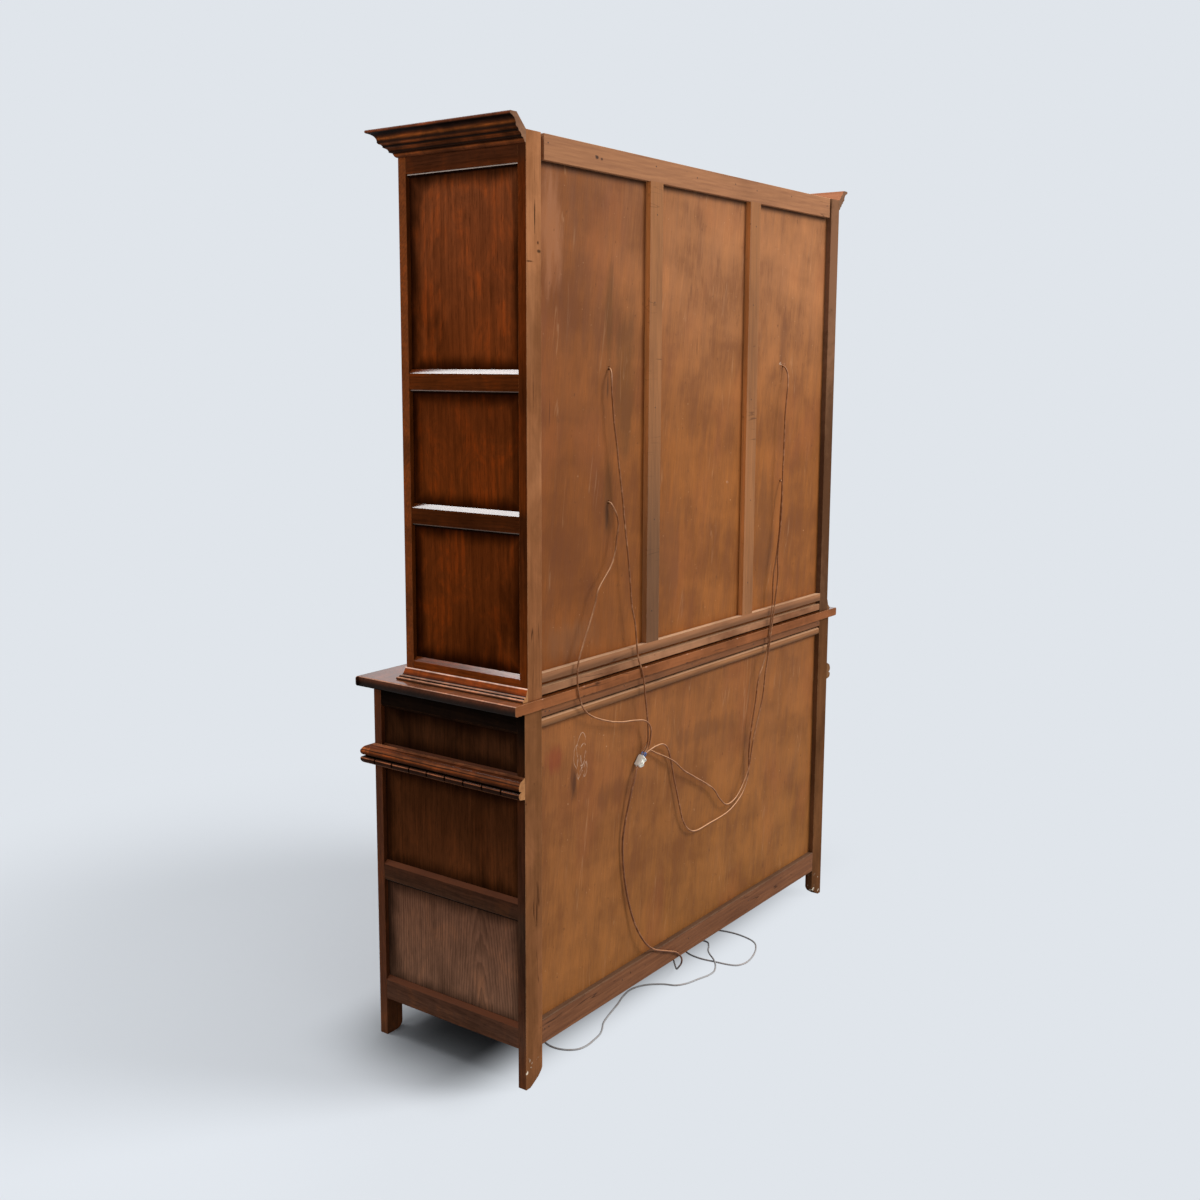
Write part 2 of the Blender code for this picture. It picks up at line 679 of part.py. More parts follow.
def face_frame(name, outer, openings, front, halves, pins):
    """A front frame with its openings, and the lower hinge halves and pins of its doors."""
    frame = as_mesh(plate(name, "xz", [outer], front, front + FRAME_T, "stained_oak"))
    cuts = as_mesh(plate(name + "_openings", "xz", openings, front - FRAME_T, front + 2 * FRAME_T))
    combine(frame, cuts, "DIFFERENCE")
    combine(frame, gathered(name + "_hinges", halves), "UNION")
    combine(frame, gathered(name + "_pins", pins), "UNION")


def build_base():
    halves = []
    pins = []
    bays = {"left": (-BASE_STILE_IN, -MUNTIN_OUT), "centre": (-MUNTIN_IN, MUNTIN_IN),
            "right": (MUNTIN_OUT, BASE_STILE_IN)}
    for tag, (left, right) in bays.items():
        base_door(tag, left, right, 1 if tag == "right" else -1, halves, pins)
        drawer(tag, left, right)
    half = [(BASE_STILE_IN, FOOT_HEIGHT)]
    half += [(BASE_STILE_IN + across * MM, up * MM) for across, up in FRONT_FOOT_CUT]
    half += [(BASE_HALF, 0), (BASE_HALF, BASE_TOP)]
    openings = []
    for left, right in bays.values():
        openings.append(rect(left, CUPBOARD_LOW, right, CUPBOARD_TOP))
        openings.append(rect(left, DRAWER_LOW, right, DRAWER_TOP))
    face_frame("base_face_frame", both_sides(half), openings, BASE_FRONT, halves, pins)

    rails = [
        (FOOT_HEIGHT, CUPBOARD_LOW, RAIL_BEVEL, 0),
        (BASE_SHELF_TOP - BASE_RAIL_BELOW, BASE_SHELF_TOP + BASE_RAIL_ABOVE, RAIL_BEVEL, RAIL_BEAD),
        (CUPBOARD_TOP, CUPBOARD_TOP + MID_RAIL_FLAT, RAIL_BEVEL, 0),
        (DRAWER_TOP, BASE_TOP - GAP, 0, RAIL_BEAD),
    ]
    for tag, side in [("left", -1), ("right", 1)]:
        side_frame("base_side_frame_" + tag, side, BASE_HALF, BASE_POST_IN, 0, BASE_TOP,
                   BASE_FRONT, rails, BACK_FOOT_CUT)
        side_sheet("base_side_panel_" + tag, side, BASE_HALF, FOOT_HEIGHT, BASE_TOP, BASE_FRONT)

    inside = BASE_FRONT + FRAME_T + GAP
    block("base_bottom_board", (-BASE_INNER, inside, CUPBOARD_LOW - BOARD_T),
          (BASE_INNER, BEHIND_POSTS, CUPBOARD_LOW), "stained_oak")
    block("base_shelf", (-BASE_INNER, inside + BASE_SHELF_SETBACK, BASE_SHELF_TOP - BOARD_T),
          (BASE_INNER, BEHIND_POSTS, BASE_SHELF_TOP), "stained_oak")
    build_drawer_deck(inside)

    edge = BASE_POST_IN - GAP
    top_rail_low = BASE_TOP - BACK_TOP_RAIL_W
    batten_top = top_rail_low - BATTEN_DROP
    rail_low = FOOT_HEIGHT - BACK_BOTTOM_RAIL_DROP
    block("base_back_top_rail", (-edge, STRIP_IN, top_rail_low), (edge, BACK_Y, BASE_TOP), "oak_strip")

    def on_back_face(e):
        return all(vert.co.y > 0 for vert in e.verts) and abs(e.verts[0].co.z - e.verts[1].co.z) < GAP

    block("base_back_batten", (-edge, STRIP_IN, batten_top - BATTEN_W),
          (edge, BACK_Y - BATTEN_SETBACK, batten_top), "oak_strip", BATTEN_ROUND, on_back_face, 2)
    block("base_back_bottom_rail", (-edge, STRIP_IN, rail_low),
          (edge, BACK_Y, rail_low + BACK_BOTTOM_RAIL_W), "oak_strip", BACK_RAIL_CHAMFER,
          on_back_face)
    block("base_back_sheet", (-edge, SHEET_IN, rail_low + BACK_SHEET_UP),
          (edge, SHEET_OUT, BASE_TOP), "back_ply")
    moulding("base_waist_moulding", WAIST, CUPBOARD_TOP, BASE_HALF, BASE_FRONT, WAIST_FRONT_SCALE)


def build_drawer_deck(inside):
    """The board under the drawers, with guide strips that stand between their trays."""
    deck = DRAWER_LOW
    guide = deck + GUIDE_H
    wall = MUNTIN_IN - TRAY_GAP + GAP
    outer_wall = MUNTIN_OUT + TRAY_GAP - GAP
    far_wall = BASE_STILE_IN - TRAY_GAP + GAP
    half = [(BASE_INNER, deck - BOARD_T), (BASE_INNER, guide), (far_wall, guide), (far_wall, deck),
            (outer_wall, deck), (outer_wall, guide), (wall, guide), (wall, deck)]
    plate("base_drawer_deck", "xz", [both_sides(half)], inside, BEHIND_POSTS, "raw_board")


def build_tabletop():
    front = BASE_FRONT - TOP_FRONT_OVER
    back = BACK_Y + TOP_BACK_OVER
    middle = (front + back) / 2

    def not_at_back(edge):
        return not all(vert.co.y > back - middle - GAP for vert in edge.verts)

    block("tabletop", (-TOP_HALF, front, TOP_LOW), (TOP_HALF, back, TOP_HIGH), "stained_oak",
          TOP_ROUND, not_at_back, 3)


def build_hutch():
    halves = []
    pins = []
    for tag, side in [("left", -1), ("right", 1)]:
        hutch_door(tag, side, halves, pins)
    outer = rect(-HUTCH_HALF, HUTCH_LOW, HUTCH_HALF, HUTCH_TOP)
    openings = [rect(left, HUTCH_OPEN_LOW, right, HUTCH_OPEN_TOP) for left, right in
                [(-HUTCH_POST_IN, -MUNTIN_OUT), (-MUNTIN_IN, MUNTIN_IN), (MUNTIN_OUT, HUTCH_POST_IN)]]
    face_frame("hutch_face_frame", outer, openings, HUTCH_FRONT, halves, pins)

    rails = [(HUTCH_LOW + GAP, HUTCH_LOW + HUTCH_SIDE_RAIL_W, RAIL_BEVEL, 0)]
    for level in ("lower", "upper"):
        rails.append((SHELF_TOP[level] - HUTCH_RAIL_BELOW, SHELF_TOP[level] + HUTCH_RAIL_ABOVE,
                      RAIL_BEVEL, RAIL_BEAD))
    rails.append((HUTCH_TOP - HUTCH_SIDE_TOP_RAIL_W, HUTCH_TOP - GAP, 0, RAIL_BEAD))
    for tag, side in [("left", -1), ("right", 1)]:
        side_frame("hutch_side_frame_" + tag, side, HUTCH_HALF, HUTCH_POST_IN, HUTCH_LOW, HUTCH_TOP,
                   HUTCH_FRONT, rails, [])
        side_sheet("hutch_side_panel_" + tag, side, HUTCH_HALF, HUTCH_LOW, HUTCH_TOP, HUTCH_FRONT)

    inside = HUTCH_FRONT + FRAME_T + GAP
    build_hutch_boards(inside)
    build_hutch_back()
    moulding("hutch_plinth_moulding", PLINTH, HUTCH_LOW, HUTCH_HALF, HUTCH_FRONT, 1.0)
    moulding("hutch_cornice", CORNICE, HUTCH_TOP, HUTCH_HALF, HUTCH_FRONT, 1.0)


def build_hutch_boards(inside):
    """Floor, lid, and the partitions and shelves that are halved into each other."""
    edge = HUTCH_POST_IN - GAP
    tongue = [(HUTCH_INNER, inside), (HUTCH_INNER, BEHIND_POSTS), (edge, BEHIND_POSTS),
              (edge, BACK_Y - STRIP_SETBACK)]
    plate("hutch_bottom_board", "xy", [both_sides(tongue)], HUTCH_FLOOR_TOP - FLOOR_T, HUTCH_FLOOR_TOP,
          "stained_oak")
    lid_top = HUTCH_TOP - HUTCH_LID_DROP
    lid_low = lid_top - BOARD_T
    block("hutch_top_board", (-HUTCH_INNER, inside, lid_low), (HUTCH_INNER, BEHIND_POSTS, lid_top),
          "stained_oak")

    low = HUTCH_FLOOR_TOP + GAP
    high = lid_low - GAP
    shelf_front = inside + HUTCH_SHELF_SETBACK
    meet = (shelf_front + BEHIND_POSTS) / 2
    outline = [(BEHIND_POSTS, low), (BEHIND_POSTS, high), (inside, high)]
    for level in ("upper", "lower"):
        top = SHELF_TOP[level] + GAP
        under = SHELF_TOP[level] - BOARD_T - GAP
        outline += [(inside, top), (meet, top), (meet, under), (inside, under)]
    outline += [(inside, low)]
    for tag, side in [("left", -1), ("right", 1)]:
        x = side * MUNTIN_X
        plate("hutch_partition_" + tag, "yz", [outline], x - BOARD_T / 2, x + BOARD_T / 2, "stained_oak")

    slot_in = MUNTIN_X - BOARD_T / 2 - GAP
    slot_out = MUNTIN_X + BOARD_T / 2 + GAP
    half = [(HUTCH_INNER, shelf_front), (HUTCH_INNER, BEHIND_POSTS), (slot_out, BEHIND_POSTS),
            (slot_out, meet - GAP), (slot_in, meet - GAP), (slot_in, BEHIND_POSTS)]
    for level in ("upper", "lower"):
        plate("hutch_shelf_" + level, "xy", [both_sides(half)], SHELF_TOP[level] - BOARD_T,
              SHELF_TOP[level], "stained_oak")


def build_hutch_back():
    """The back sheet with its cable holes, and the frame of strips on it."""
    edge = HUTCH_POST_IN - GAP
    outlines = [rect(-edge, HUTCH_FLOOR_TOP + GAP, edge, HUTCH_TOP - GAP)]
    for tag, (x, up) in HOLES.items():
        z = SHELF_TOP[tag.split("_")[0]] + up
        outlines.append(circle((x, z), HOLE_R, HOLE_STEPS))
    plate("hutch_back_sheet", "xz", outlines, SHEET_IN, SHEET_OUT, "back_ply")

    inner = MUNTIN_IN
    outer = MUNTIN_IN + BACK_MUNTIN_W
    strip_low = HUTCH_FLOOR_TOP + HUTCH_STRIP_UP
    strip_top = strip_low + HUTCH_STRIP_W
    rail_top = HUTCH_TOP - GAP
    rail_low = rail_top - HUTCH_BACK_RAIL_W
    half = [(edge, strip_low), (edge, strip_top), (outer, strip_top), (outer, rail_low),
            (edge - HUTCH_BACK_SLOT, rail_low), (edge - HUTCH_BACK_SLOT, rail_top)]
    plate("hutch_back_frame", "xz", [both_sides(half), rect(-inner, strip_top, inner, rail_low)],
          STRIP_IN, BACK_Y, "oak_strip")


# Cord routes, in millimetres: across, back from the posts' back plane, and up.
ROUTES = {
    "upper_right": [
        (360.5, -8, 1442.3), (362.5, -4.6, 1437.5), (365, -1.5, 1429), (368, 1, 1419),
        (370, 2.6, 1405), (367, 3, 1378),
        (362, 4, 1331), (353, 4.5, 1289), (348, 5, 1257), (333, 5.5, 1178), (322, 6, 1108),
        (312, 6.5, 1052), (303, 7, 985), (297, 7, 943), (286, 7.5, 907), (281, 8, 872),
        (273, 8, 827), (260, 8, 802), (251, 8.5, 772), (246, 8, 744), (232, 5, 690),
        (222, 1, 650), (220.5, -1.5, 628)],
    "lower_right": [
        (357, -8, 1168.3), (355.5, -4.6, 1163.5), (352, -2, 1156), (346.5, 0.6, 1144),
        (343, 2.6, 1124), (348, 3, 1100),
        (357, 4, 1065), (372, 5, 1040), (404, 5.5, 1010), (419, 6, 994), (430, 6.5, 966),
        (450, 7, 929), (466, 7, 899), (482, 8, 871), (489, 8, 851), (491, 8, 825),
        (489, 8.5, 800), (481, 8, 776), (466, 7, 754), (439, 6, 735), (378, 5, 711),
        (331, 5, 699), (280, 7, 692), (246, 10, 684), (224, 9, 664), (220, 6, 640),
        (222.5, 3, 620)],
    "upper_left": [
        (-380.5, -8, 1449.3), (-382, -4.6, 1444.5), (-383, -1.5, 1437), (-382, 1.5, 1426),
        (-377, 4.6, 1407),
        (-370, 6, 1373), (-362, 7, 1329), (-360, 7.5, 1287), (-358, 8, 1238), (-355, 8, 1184),
        (-353, 8.5, 1094), (-349, 9, 1059), (-340, 9.5, 1010), (-336, 10, 973),
        (-339, 10.5, 935), (-332, 11, 898), (-319, 11.5, 841), (-303, 12, 775),
        (-293, 12, 731), (-284, 11, 689), (-279, 9, 639), (-262, 7, 588), (-239, 6, 529),
        (-225, 5, 470), (-211, 4, 443), (-168, 2, 402), (-124, 1, 395), (-94, 0, 416),
        (-63, 0, 449), (8, 0, 492), (76, 2, 530), (118, 3, 561), (158, 0, 583), (186, -2.5, 596),
        (206, -3.2, 606)],
    "lower_left": [
        (-379, -8, 1166.3), (-376, -4.6, 1161.5), (-371.5, -2, 1152), (-366, 1, 1133),
        (-358, 3, 1091),
        (-353, 4, 1046), (-344, 4.5, 1002), (-335, 5, 968), (-325, 5.5, 933), (-321, 6.5, 866),
        (-308, 7.5, 799), (-296, 8, 750), (-278, 7.5, 715), (-260, 6, 683), (-253, 3, 628),
        (-241, 1, 569), (-234, -1, 518), (-234, -2, 480), (-234, -3, 441), (-215, -3, 409),
        (-196, -3, 394), (-145, -3.5, 373), (-57, -4, 366), (16, -3.5, 366), (45, -3, 380),
        (67, -3.5, 407), (85, -4, 456), (108, -5, 526), (121, -4.5, 566), (139, -2, 597),
        (164, 1.5, 612), (189, 2.6, 614), (209, 2.4, 612)],
}
LEAD_ROUTE = [
    (269, -1, 561), (279, -2, 537), (288, -3, 509), (298, -5, 471), (306, -6, 430),
    (305, -7, 389), (297, -7, 334), (286, -6, 288), (271, -4, 242), (252, 0, 199),
    (222, 3.2, 159), (189, 3.5, 135), (143, 3.5, 115), (100, 3.5, 96), (81, 3, 81),
    (70, 1, 68), (58, -8, 50), (44, -24, 31), (24, -42, 14), (-2, -62, 5), (-38, -92, 2.4),
    (-84, -133, 2.4), (-140, -155, 2.4), (-200, -148, 2.4), (-243, -112, 2.4),
    (-260, -60, 2.4), (-257, -14, 2.4), (-243, 20, 2.4), (-213, 42, 2.4), (-159, 60, 2.4),
    (-123, 62, 2.4), (-101, 52, 2.4), (-92, 32, 2.4), (-87, 2, 2.4), (-81, -42, 2.4),
    (-89, -82, 2.4), (-114, -110, 2.4), (-148, -114, 2.4), (-172, -97, 2.4), (-173, -76, 2.4),
    (-155, -61, 2.4), (-131, -48, 3.4), (-107, -28, 6.4), (-85, -4, 7.8), (-62, 15, 5.8),
    (-39, 25, 3), (-15, 25, 2.4), (19, 16, 2.4), (55, 6, 2.4), (78, -9, 2.4), (92, -38, 2.4),
    (120, -68, 2.4), (155, -82, 2.4), (195, -78, 2.4), (237, -65, 2.4), (264, -58, 2.4),
    (305, -47, 2.4), (331, -38, 2.4), (355, -24, 2.4), (375, -15, 2.4), (405, -10, 2.4),
    (435, -8, 2.4), (457, -14, 2.4), (474, -32, 2.4), (482, -60, 2.4), (476, -88, 2.4),
    (454, -109, 2.4), (424, -120, 3), (396, -127, 5),
]
TERMINAL_OUT = 0.008    # a cord runs this far straight out of the terminal block
CORD_SPREAD = 0.0023    # cords in the block lie this far from its middle


def terminal_point(along, across, deep):
    """A point by the terminal block: along its wires, across them, and back from its middle."""
    wires = Vector((math.sin(TERMINAL_TILT), 0, math.cos(TERMINAL_TILT)))
    sideways = Vector((math.cos(TERMINAL_TILT), 0, -math.sin(TERMINAL_TILT)))
    middle = Vector((TERMINAL_X, STRIP_IN + TERMINAL_DEEP / 2, TERMINAL_Z))
    return middle + along * wires + across * sideways + Vector((0, deep, 0))


def route_points(route):
    return [Vector((x * MM, BACK_Y + y * MM, z * MM)) for x, y, z in route]


def smooth_curve(points, steps=16):
    """Close points on one smooth curve through a route's points (centripetal Catmull-Rom)."""
    pts = np.array([tuple(point) for point in points])
    pts = np.vstack([2 * pts[0] - pts[1], pts, 2 * pts[-1] - pts[-2]])
    dense = []
    for k in range(1, len(pts) - 2):
        p0, p1, p2, p3 = pts[k - 1:k + 3]
        t1 = np.linalg.norm(p1 - p0) ** 0.5
        t2 = t1 + np.linalg.norm(p2 - p1) ** 0.5
        t3 = t2 + np.linalg.norm(p3 - p2) ** 0.5
        t = np.linspace(t1, t2, steps, endpoint=False)[:, None]
        a1 = (t1 - t) / t1 * p0 + t / t1 * p1
        a2 = (t2 - t) / (t2 - t1) * p1 + (t - t1) / (t2 - t1) * p2
        a3 = (t3 - t) / (t3 - t2) * p2 + (t - t2) / (t3 - t2) * p3
        b1 = (t2 - t) / t2 * a1 + t / t2 * a2
        b2 = (t3 - t) / (t3 - t1) * a2 + (t - t1) / (t3 - t1) * a3
        dense.append((t2 - t) / (t2 - t1) * b1 + (t - t1) / (t2 - t1) * b2)
    return np.vstack(dense + [pts[-2:-1]])


def thinned(dense, count):
    """That many points of a close curve, nearer together where it bends more."""
    steps = np.diff(dense, axis=0)
    lengths = np.linalg.norm(steps, axis=1)
    headings = steps / lengths[:, None]
    turns = np.arccos(np.clip((headings[1:] * headings[:-1]).sum(axis=1), -1, 1))
    turn_at = np.concatenate([[0], turns]) + np.concatenate([turns, [0]])
    effort = lengths / lengths.sum() + turn_at / turn_at.sum()
    walked = np.concatenate([[0], np.cumsum(effort)])
    wanted = np.linspace(0, walked[-1], count)
    return np.stack([np.interp(wanted, walked, dense[:, axis]) for axis in range(3)], axis=1)


def cord(name, points, diameter, count, finish):
    """A round cord along a route."""
    dense = smooth_curve(points)
    curve = bpy.data.curves.new(name, "CURVE")
    curve.dimensions = "3D"
    curve.bevel_depth = diameter / 2
    curve.bevel_resolution = 2
    curve.use_fill_caps = True
    spline = curve.splines.new("POLY")
    spline.points.add(count - 1)
    for point, place in zip(spline.points, thinned(dense, count)):
        point.co = (*place, 1)
    add_object(name, curve, finish)


def build_lamps_and_flexes():
    """The lamps on the shelves, and each lamp's flex out through its hole to the terminal block."""
    ends = {"upper_right": (1, -1), "lower_right": (1, 1), "upper_left": (-1, -1), "lower_left": (-1, 1)}
    for tag, (x, up) in HOLES.items():
        shelf = SHELF_TOP[tag.split("_")[0]]
        lamp = turned("cabinet_lamp_" + tag, LAMP, LAMP_STEPS, "lamp_plastic")
        lamp.location = (x, BACK_Y - LAMP_SETBACK, shelf + GAP)
        outlet_y = BACK_Y - LAMP_SETBACK + LAMP_WALL_R + GAP
        points = [Vector((x, y, shelf + up)) for y in (outlet_y, SHEET_IN, SHEET_OUT)]
        points += route_points(ROUTES[tag])
        across, deep = (CORD_SPREAD * sign for sign in ends[tag])
        end = TERMINAL_L / 2 + GAP
        points += [terminal_point(end + TERMINAL_OUT, across, deep), terminal_point(end, across, deep)]
        cord("flex_" + tag, points, FLEX_D, FLEX_POINTS, "brown_flex")


def build_terminal_block():
    pivot = add_pivot("terminal_place", terminal_point(0, 0, 0), (0, TERMINAL_TILT, 0))
    size = Vector((TERMINAL_W, TERMINAL_DEEP, TERMINAL_L)) / 2
    body = block("terminal_block", -size, size, "terminal_plastic", TERMINAL_CHAMFER)
    wells = []
    for across in (-WELL_ACROSS, WELL_ACROSS):
        for along in (-WELL_ALONG, WELL_ALONG):
            wells.append(cylinder(f"well_{len(wells)}", WELL_R,
                                  (across, TERMINAL_DEEP / 2 - WELL_DEEP, along),
                                  (across, TERMINAL_DEEP / 2 + WELL_DEEP, along),
                                  WELL_STEPS, "y"))
    wells = gathered("terminal_block_wells", wells)
    body.parent = pivot
    wells.parent = pivot
    combine(body, wells, "DIFFERENCE")


def build_lead_and_plug():
    """The mains lead from the terminal block to its plug, and a plain flat two-pin plug."""
    tip = Vector((PLUG_X, BACK_Y + PLUG_FROM_BACK, PLUG_T / 2 + GAP))
    heading = Vector((math.cos(PLUG_TURN), math.sin(PLUG_TURN), 0))
    end = -TERMINAL_L / 2 - GAP
    points = [terminal_point(end, 0, 0), terminal_point(end - TERMINAL_OUT, 0, 0)]
    points += route_points(LEAD_ROUTE)
    points += [tip - heading * (GAP + LEAD_STRAIGHT), tip - heading * GAP]
    cord("mains_lead", points, LEAD_D, LEAD_POINTS, "brown_flex")

    pivot = add_pivot("plug_place", tip, (0, 0, PLUG_TURN))
    end = RELIEF_L + PLUG_L
    body = block("mains_plug", (RELIEF_L, -PLUG_W / 2, -PLUG_T / 2), (end, PLUG_W / 2, PLUG_T / 2),
                 "plug_plastic", PLUG_CHAMFER)
    relief = cylinder("mains_plug_relief", RELIEF_TIP_R, (0, 0, 0), (RELIEF_L + PLUG_LAP, 0, 0),
                      PLUG_STEPS, "x", RELIEF_ROOT_R)
    pins = [cylinder(f"plug_pin_{k}", PLUG_PIN_R, (end - PLUG_LAP, k * PIN_SPREAD, 0),
                     (end + PLUG_PIN_L, k * PIN_SPREAD, 0), PLUG_STEPS, "x") for k in (-1, 1)]
    pins = gathered("mains_plug_pins", pins)
    for piece in (body, relief, pins):
        piece.parent = pivot
    combine(body, relief, "UNION")
    combine(body, pins, "UNION")


build_base()
build_tabletop()
build_hutch()
build_lamps_and_flexes()
build_terminal_block()
build_lead_and_plug()
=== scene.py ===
"""Display sideboard, dressed: mouldings, leading, knobs, wiring and every finish.

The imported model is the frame. X runs along the sideboard, the front faces -Y, +Z is up
and the origin is on the floor under its middle. Sizes are in metres, apart from the
section, tint and route tables, whose heights and places are in millimetres.
"""

import math

import bmesh
import bpy
import numpy as np
from mathutils import Matrix, Vector


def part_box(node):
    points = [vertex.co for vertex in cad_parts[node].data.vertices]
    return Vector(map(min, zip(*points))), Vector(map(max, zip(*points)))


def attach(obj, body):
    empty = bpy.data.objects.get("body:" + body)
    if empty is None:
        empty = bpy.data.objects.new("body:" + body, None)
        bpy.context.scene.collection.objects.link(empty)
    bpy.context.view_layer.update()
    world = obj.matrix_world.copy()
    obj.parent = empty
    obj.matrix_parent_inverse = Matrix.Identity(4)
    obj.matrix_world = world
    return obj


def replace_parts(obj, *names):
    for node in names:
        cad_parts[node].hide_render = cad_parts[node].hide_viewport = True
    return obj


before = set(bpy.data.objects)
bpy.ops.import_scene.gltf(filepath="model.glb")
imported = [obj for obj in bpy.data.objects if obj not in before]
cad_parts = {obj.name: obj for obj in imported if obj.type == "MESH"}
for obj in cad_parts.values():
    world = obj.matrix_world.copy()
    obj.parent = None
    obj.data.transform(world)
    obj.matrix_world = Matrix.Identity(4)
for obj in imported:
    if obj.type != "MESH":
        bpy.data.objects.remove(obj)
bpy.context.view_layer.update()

MM = 0.001
# The clearance between two pieces that are set against each other
GAP = 0.0003


def corners_of(node):
    """The lowest and the highest corner of a CAD piece's box."""
    low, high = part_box(node)
    return np.array(low), np.array(high)


# Planes and levels of the carcass, read from the pieces themselves
HINGE_PROUD = 0.0063
HUTCH_DEPTH = 0.323
WAIST_FOOT = 0.005
BASE_HALF, BACK_Y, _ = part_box("base_side_frame_right")[1]
BASE_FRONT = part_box("base_door_left")[0][1] + HINGE_PROUD
HUTCH_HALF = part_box("hutch_side_frame_right")[1][0]
HUTCH_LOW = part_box("hutch_side_frame_right")[0][2]
HUTCH_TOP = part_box("hutch_side_frame_right")[1][2]
HUTCH_FRONT = BACK_Y - HUTCH_DEPTH
CUPBOARD_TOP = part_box("base_waist_moulding")[0][2] - WAIST_FOOT
SHELF_TOP = {"lower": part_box("hutch_shelf_lower")[1][2], "upper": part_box("hutch_shelf_upper")[1][2]}
SHEET_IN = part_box("hutch_back_sheet")[0][1]
SHEET_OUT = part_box("hutch_back_sheet")[1][1]
STRIP_IN = SHEET_OUT + GAP
MUNTIN_X = 0.207
MUNTIN_HALF = 0.023


# Shapes

def quads(rows, columns, ring=False, loop=False):
    """Corners of the quads between the points of a grid, row by row.

    Quad (i, j) joins points (i, j), (i + 1, j), (i + 1, j + 1) and (i, j + 1). A ring closes
    the columns on themselves, and a loop closes the rows.
    """
    i, j = np.meshgrid(np.arange(rows if loop else rows - 1), np.arange(columns if ring else columns - 1),
                       indexing="ij")
    below, beside = (i + 1) % rows, (j + 1) % columns
    return np.stack([i * columns + j, below * columns + j, below * columns + beside, i * columns + beside],
                    axis=-1).reshape(-1, 4)


def capped(rows, columns):
    """The faces of a tube whose rows are rings of points, with a face over each end."""
    last = (rows - 1) * columns
    ends = [list(range(columns)), list(range(last, last + columns))]
    return quads(rows, columns, ring=True).tolist() + ends


def add_piece(name, points, faces, finishes, slot, body="cabinet", crease=40, marks=None, values=None):
    """Puts points and faces in a mesh with its faces turned outwards, and lets it ride on a body.

    Edges sharper than crease, in degrees, stay sharp. marks gives each face the number of its
    finish, and values a number at each point, from -1 in a hollow to 1 on a crest, which the
    stain and the wear follow.
    """
    mesh = bpy.data.meshes.new(name)
    mesh.from_pydata(np.asarray(points, float).tolist(), [], [list(map(int, face)) for face in faces])
    if marks is not None:
        mesh.polygons.foreach_set("material_index", np.asarray(marks, np.int32))
    if values is not None:
        relief = mesh.attributes.new("relief", "FLOAT", "POINT")
        relief.data.foreach_set("value", np.asarray(values, np.float32))
    bm = bmesh.new()
    bm.from_mesh(mesh)
    bmesh.ops.remove_doubles(bm, verts=bm.verts, dist=1e-6)
    bmesh.ops.recalc_face_normals(bm, faces=bm.faces)
    bm.to_mesh(mesh)
    bm.free()
    mesh.shade_smooth()
    mesh.set_sharp_from_angle(angle=math.radians(crease))
    for finish in finishes:
        mesh.materials.append(finish)
    piece = bpy.data.objects.new(name, mesh)
    bpy.context.scene.collection.objects.link(piece)
    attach(piece, body)
    return piece


def smooth_run(points, per=5):
    """Close points on the curve through a run of points, with the last point left out.

    Between points 1 and 2 of four in a row, at share t, the curve is half of
    2 P1 + (P2 - P0) t + (2 P0 - 5 P1 + 4 P2 - P3) t^2 + (3 P1 - P0 - 3 P2 + P3) t^3.
    """
    p = np.asarray(points, float)
    p = np.vstack([2 * p[0] - p[1], p, 2 * p[-1] - p[-2]])
    p0, p1, p2, p3 = p[:-3, None], p[1:-2, None], p[2:-1, None], p[3:, None]
    t = (np.arange(per) / per)[None, :, None]
    curve = 2 * p1 + (p2 - p0) * t + (2 * p0 - 5 * p1 + 4 * p2 - p3) * t ** 2 \
        + (3 * p1 - p0 - 3 * p2 + p3) * t ** 3
    return (curve / 2).reshape(-1, p.shape[1])


def section_of(*runs):
    """A section from runs of points in millimetres, each run smooth, with a corner where two meet."""
    smooth = [smooth_run(run) if len(run) > 2 else np.asarray(run[:1], float) for run in runs]
    return np.vstack(smooth + [np.asarray(runs[-1][-1:], float)])


def run_length(path):
    """The length along a path up to each of its points."""
    return np.concatenate([[0], np.cumsum(np.linalg.norm(np.diff(path, axis=0), axis=1))])


def length_of(path):
    """The whole length of a path."""
    return float(run_length(path)[-1])


def relief_of(section, reach, gain):
    """How far each point of a section stands out from the chord of its neighbours, from -1 to 1.

    With s the length along the section and n the chord's normal, it is gain times
    (P(s) - (P(s - reach) + P(s + reach)) / 2) . n over reach.
    """
    s = run_length(section)
    before = np.stack([np.interp(s - reach, s, section[:, k]) for k in (0, 1)], axis=1)
    after = np.stack([np.interp(s + reach, s, section[:, k]) for k in (0, 1)], axis=1)
    chord = after - before
    normal = np.stack([-chord[:, 1], chord[:, 0]], axis=1)
    normal /= np.maximum(np.linalg.norm(normal, axis=1, keepdims=True), 1e-9)
    normal *= np.where(normal[:, :1] < 0, -1, 1)
    off = ((section - (before + after) / 2) * normal).sum(axis=1)
    return np.clip(gain * off / reach, -1, 1)


# A carved notch: the places along the run where its depth is set, from front to back
NOTCH_STEPS = np.array([0.0022, 0.0012, 0.0, -0.0012, -0.0022])
NOTCH_DEPTHS = np.array([0.0, 1.0, 1.0, 1.0, 0.0])
FIRST_NOTCH = 0.0467
LAST_NOTCH = 0.05
BACK_STEP = 0.006
CORNER_STEP = 0.002


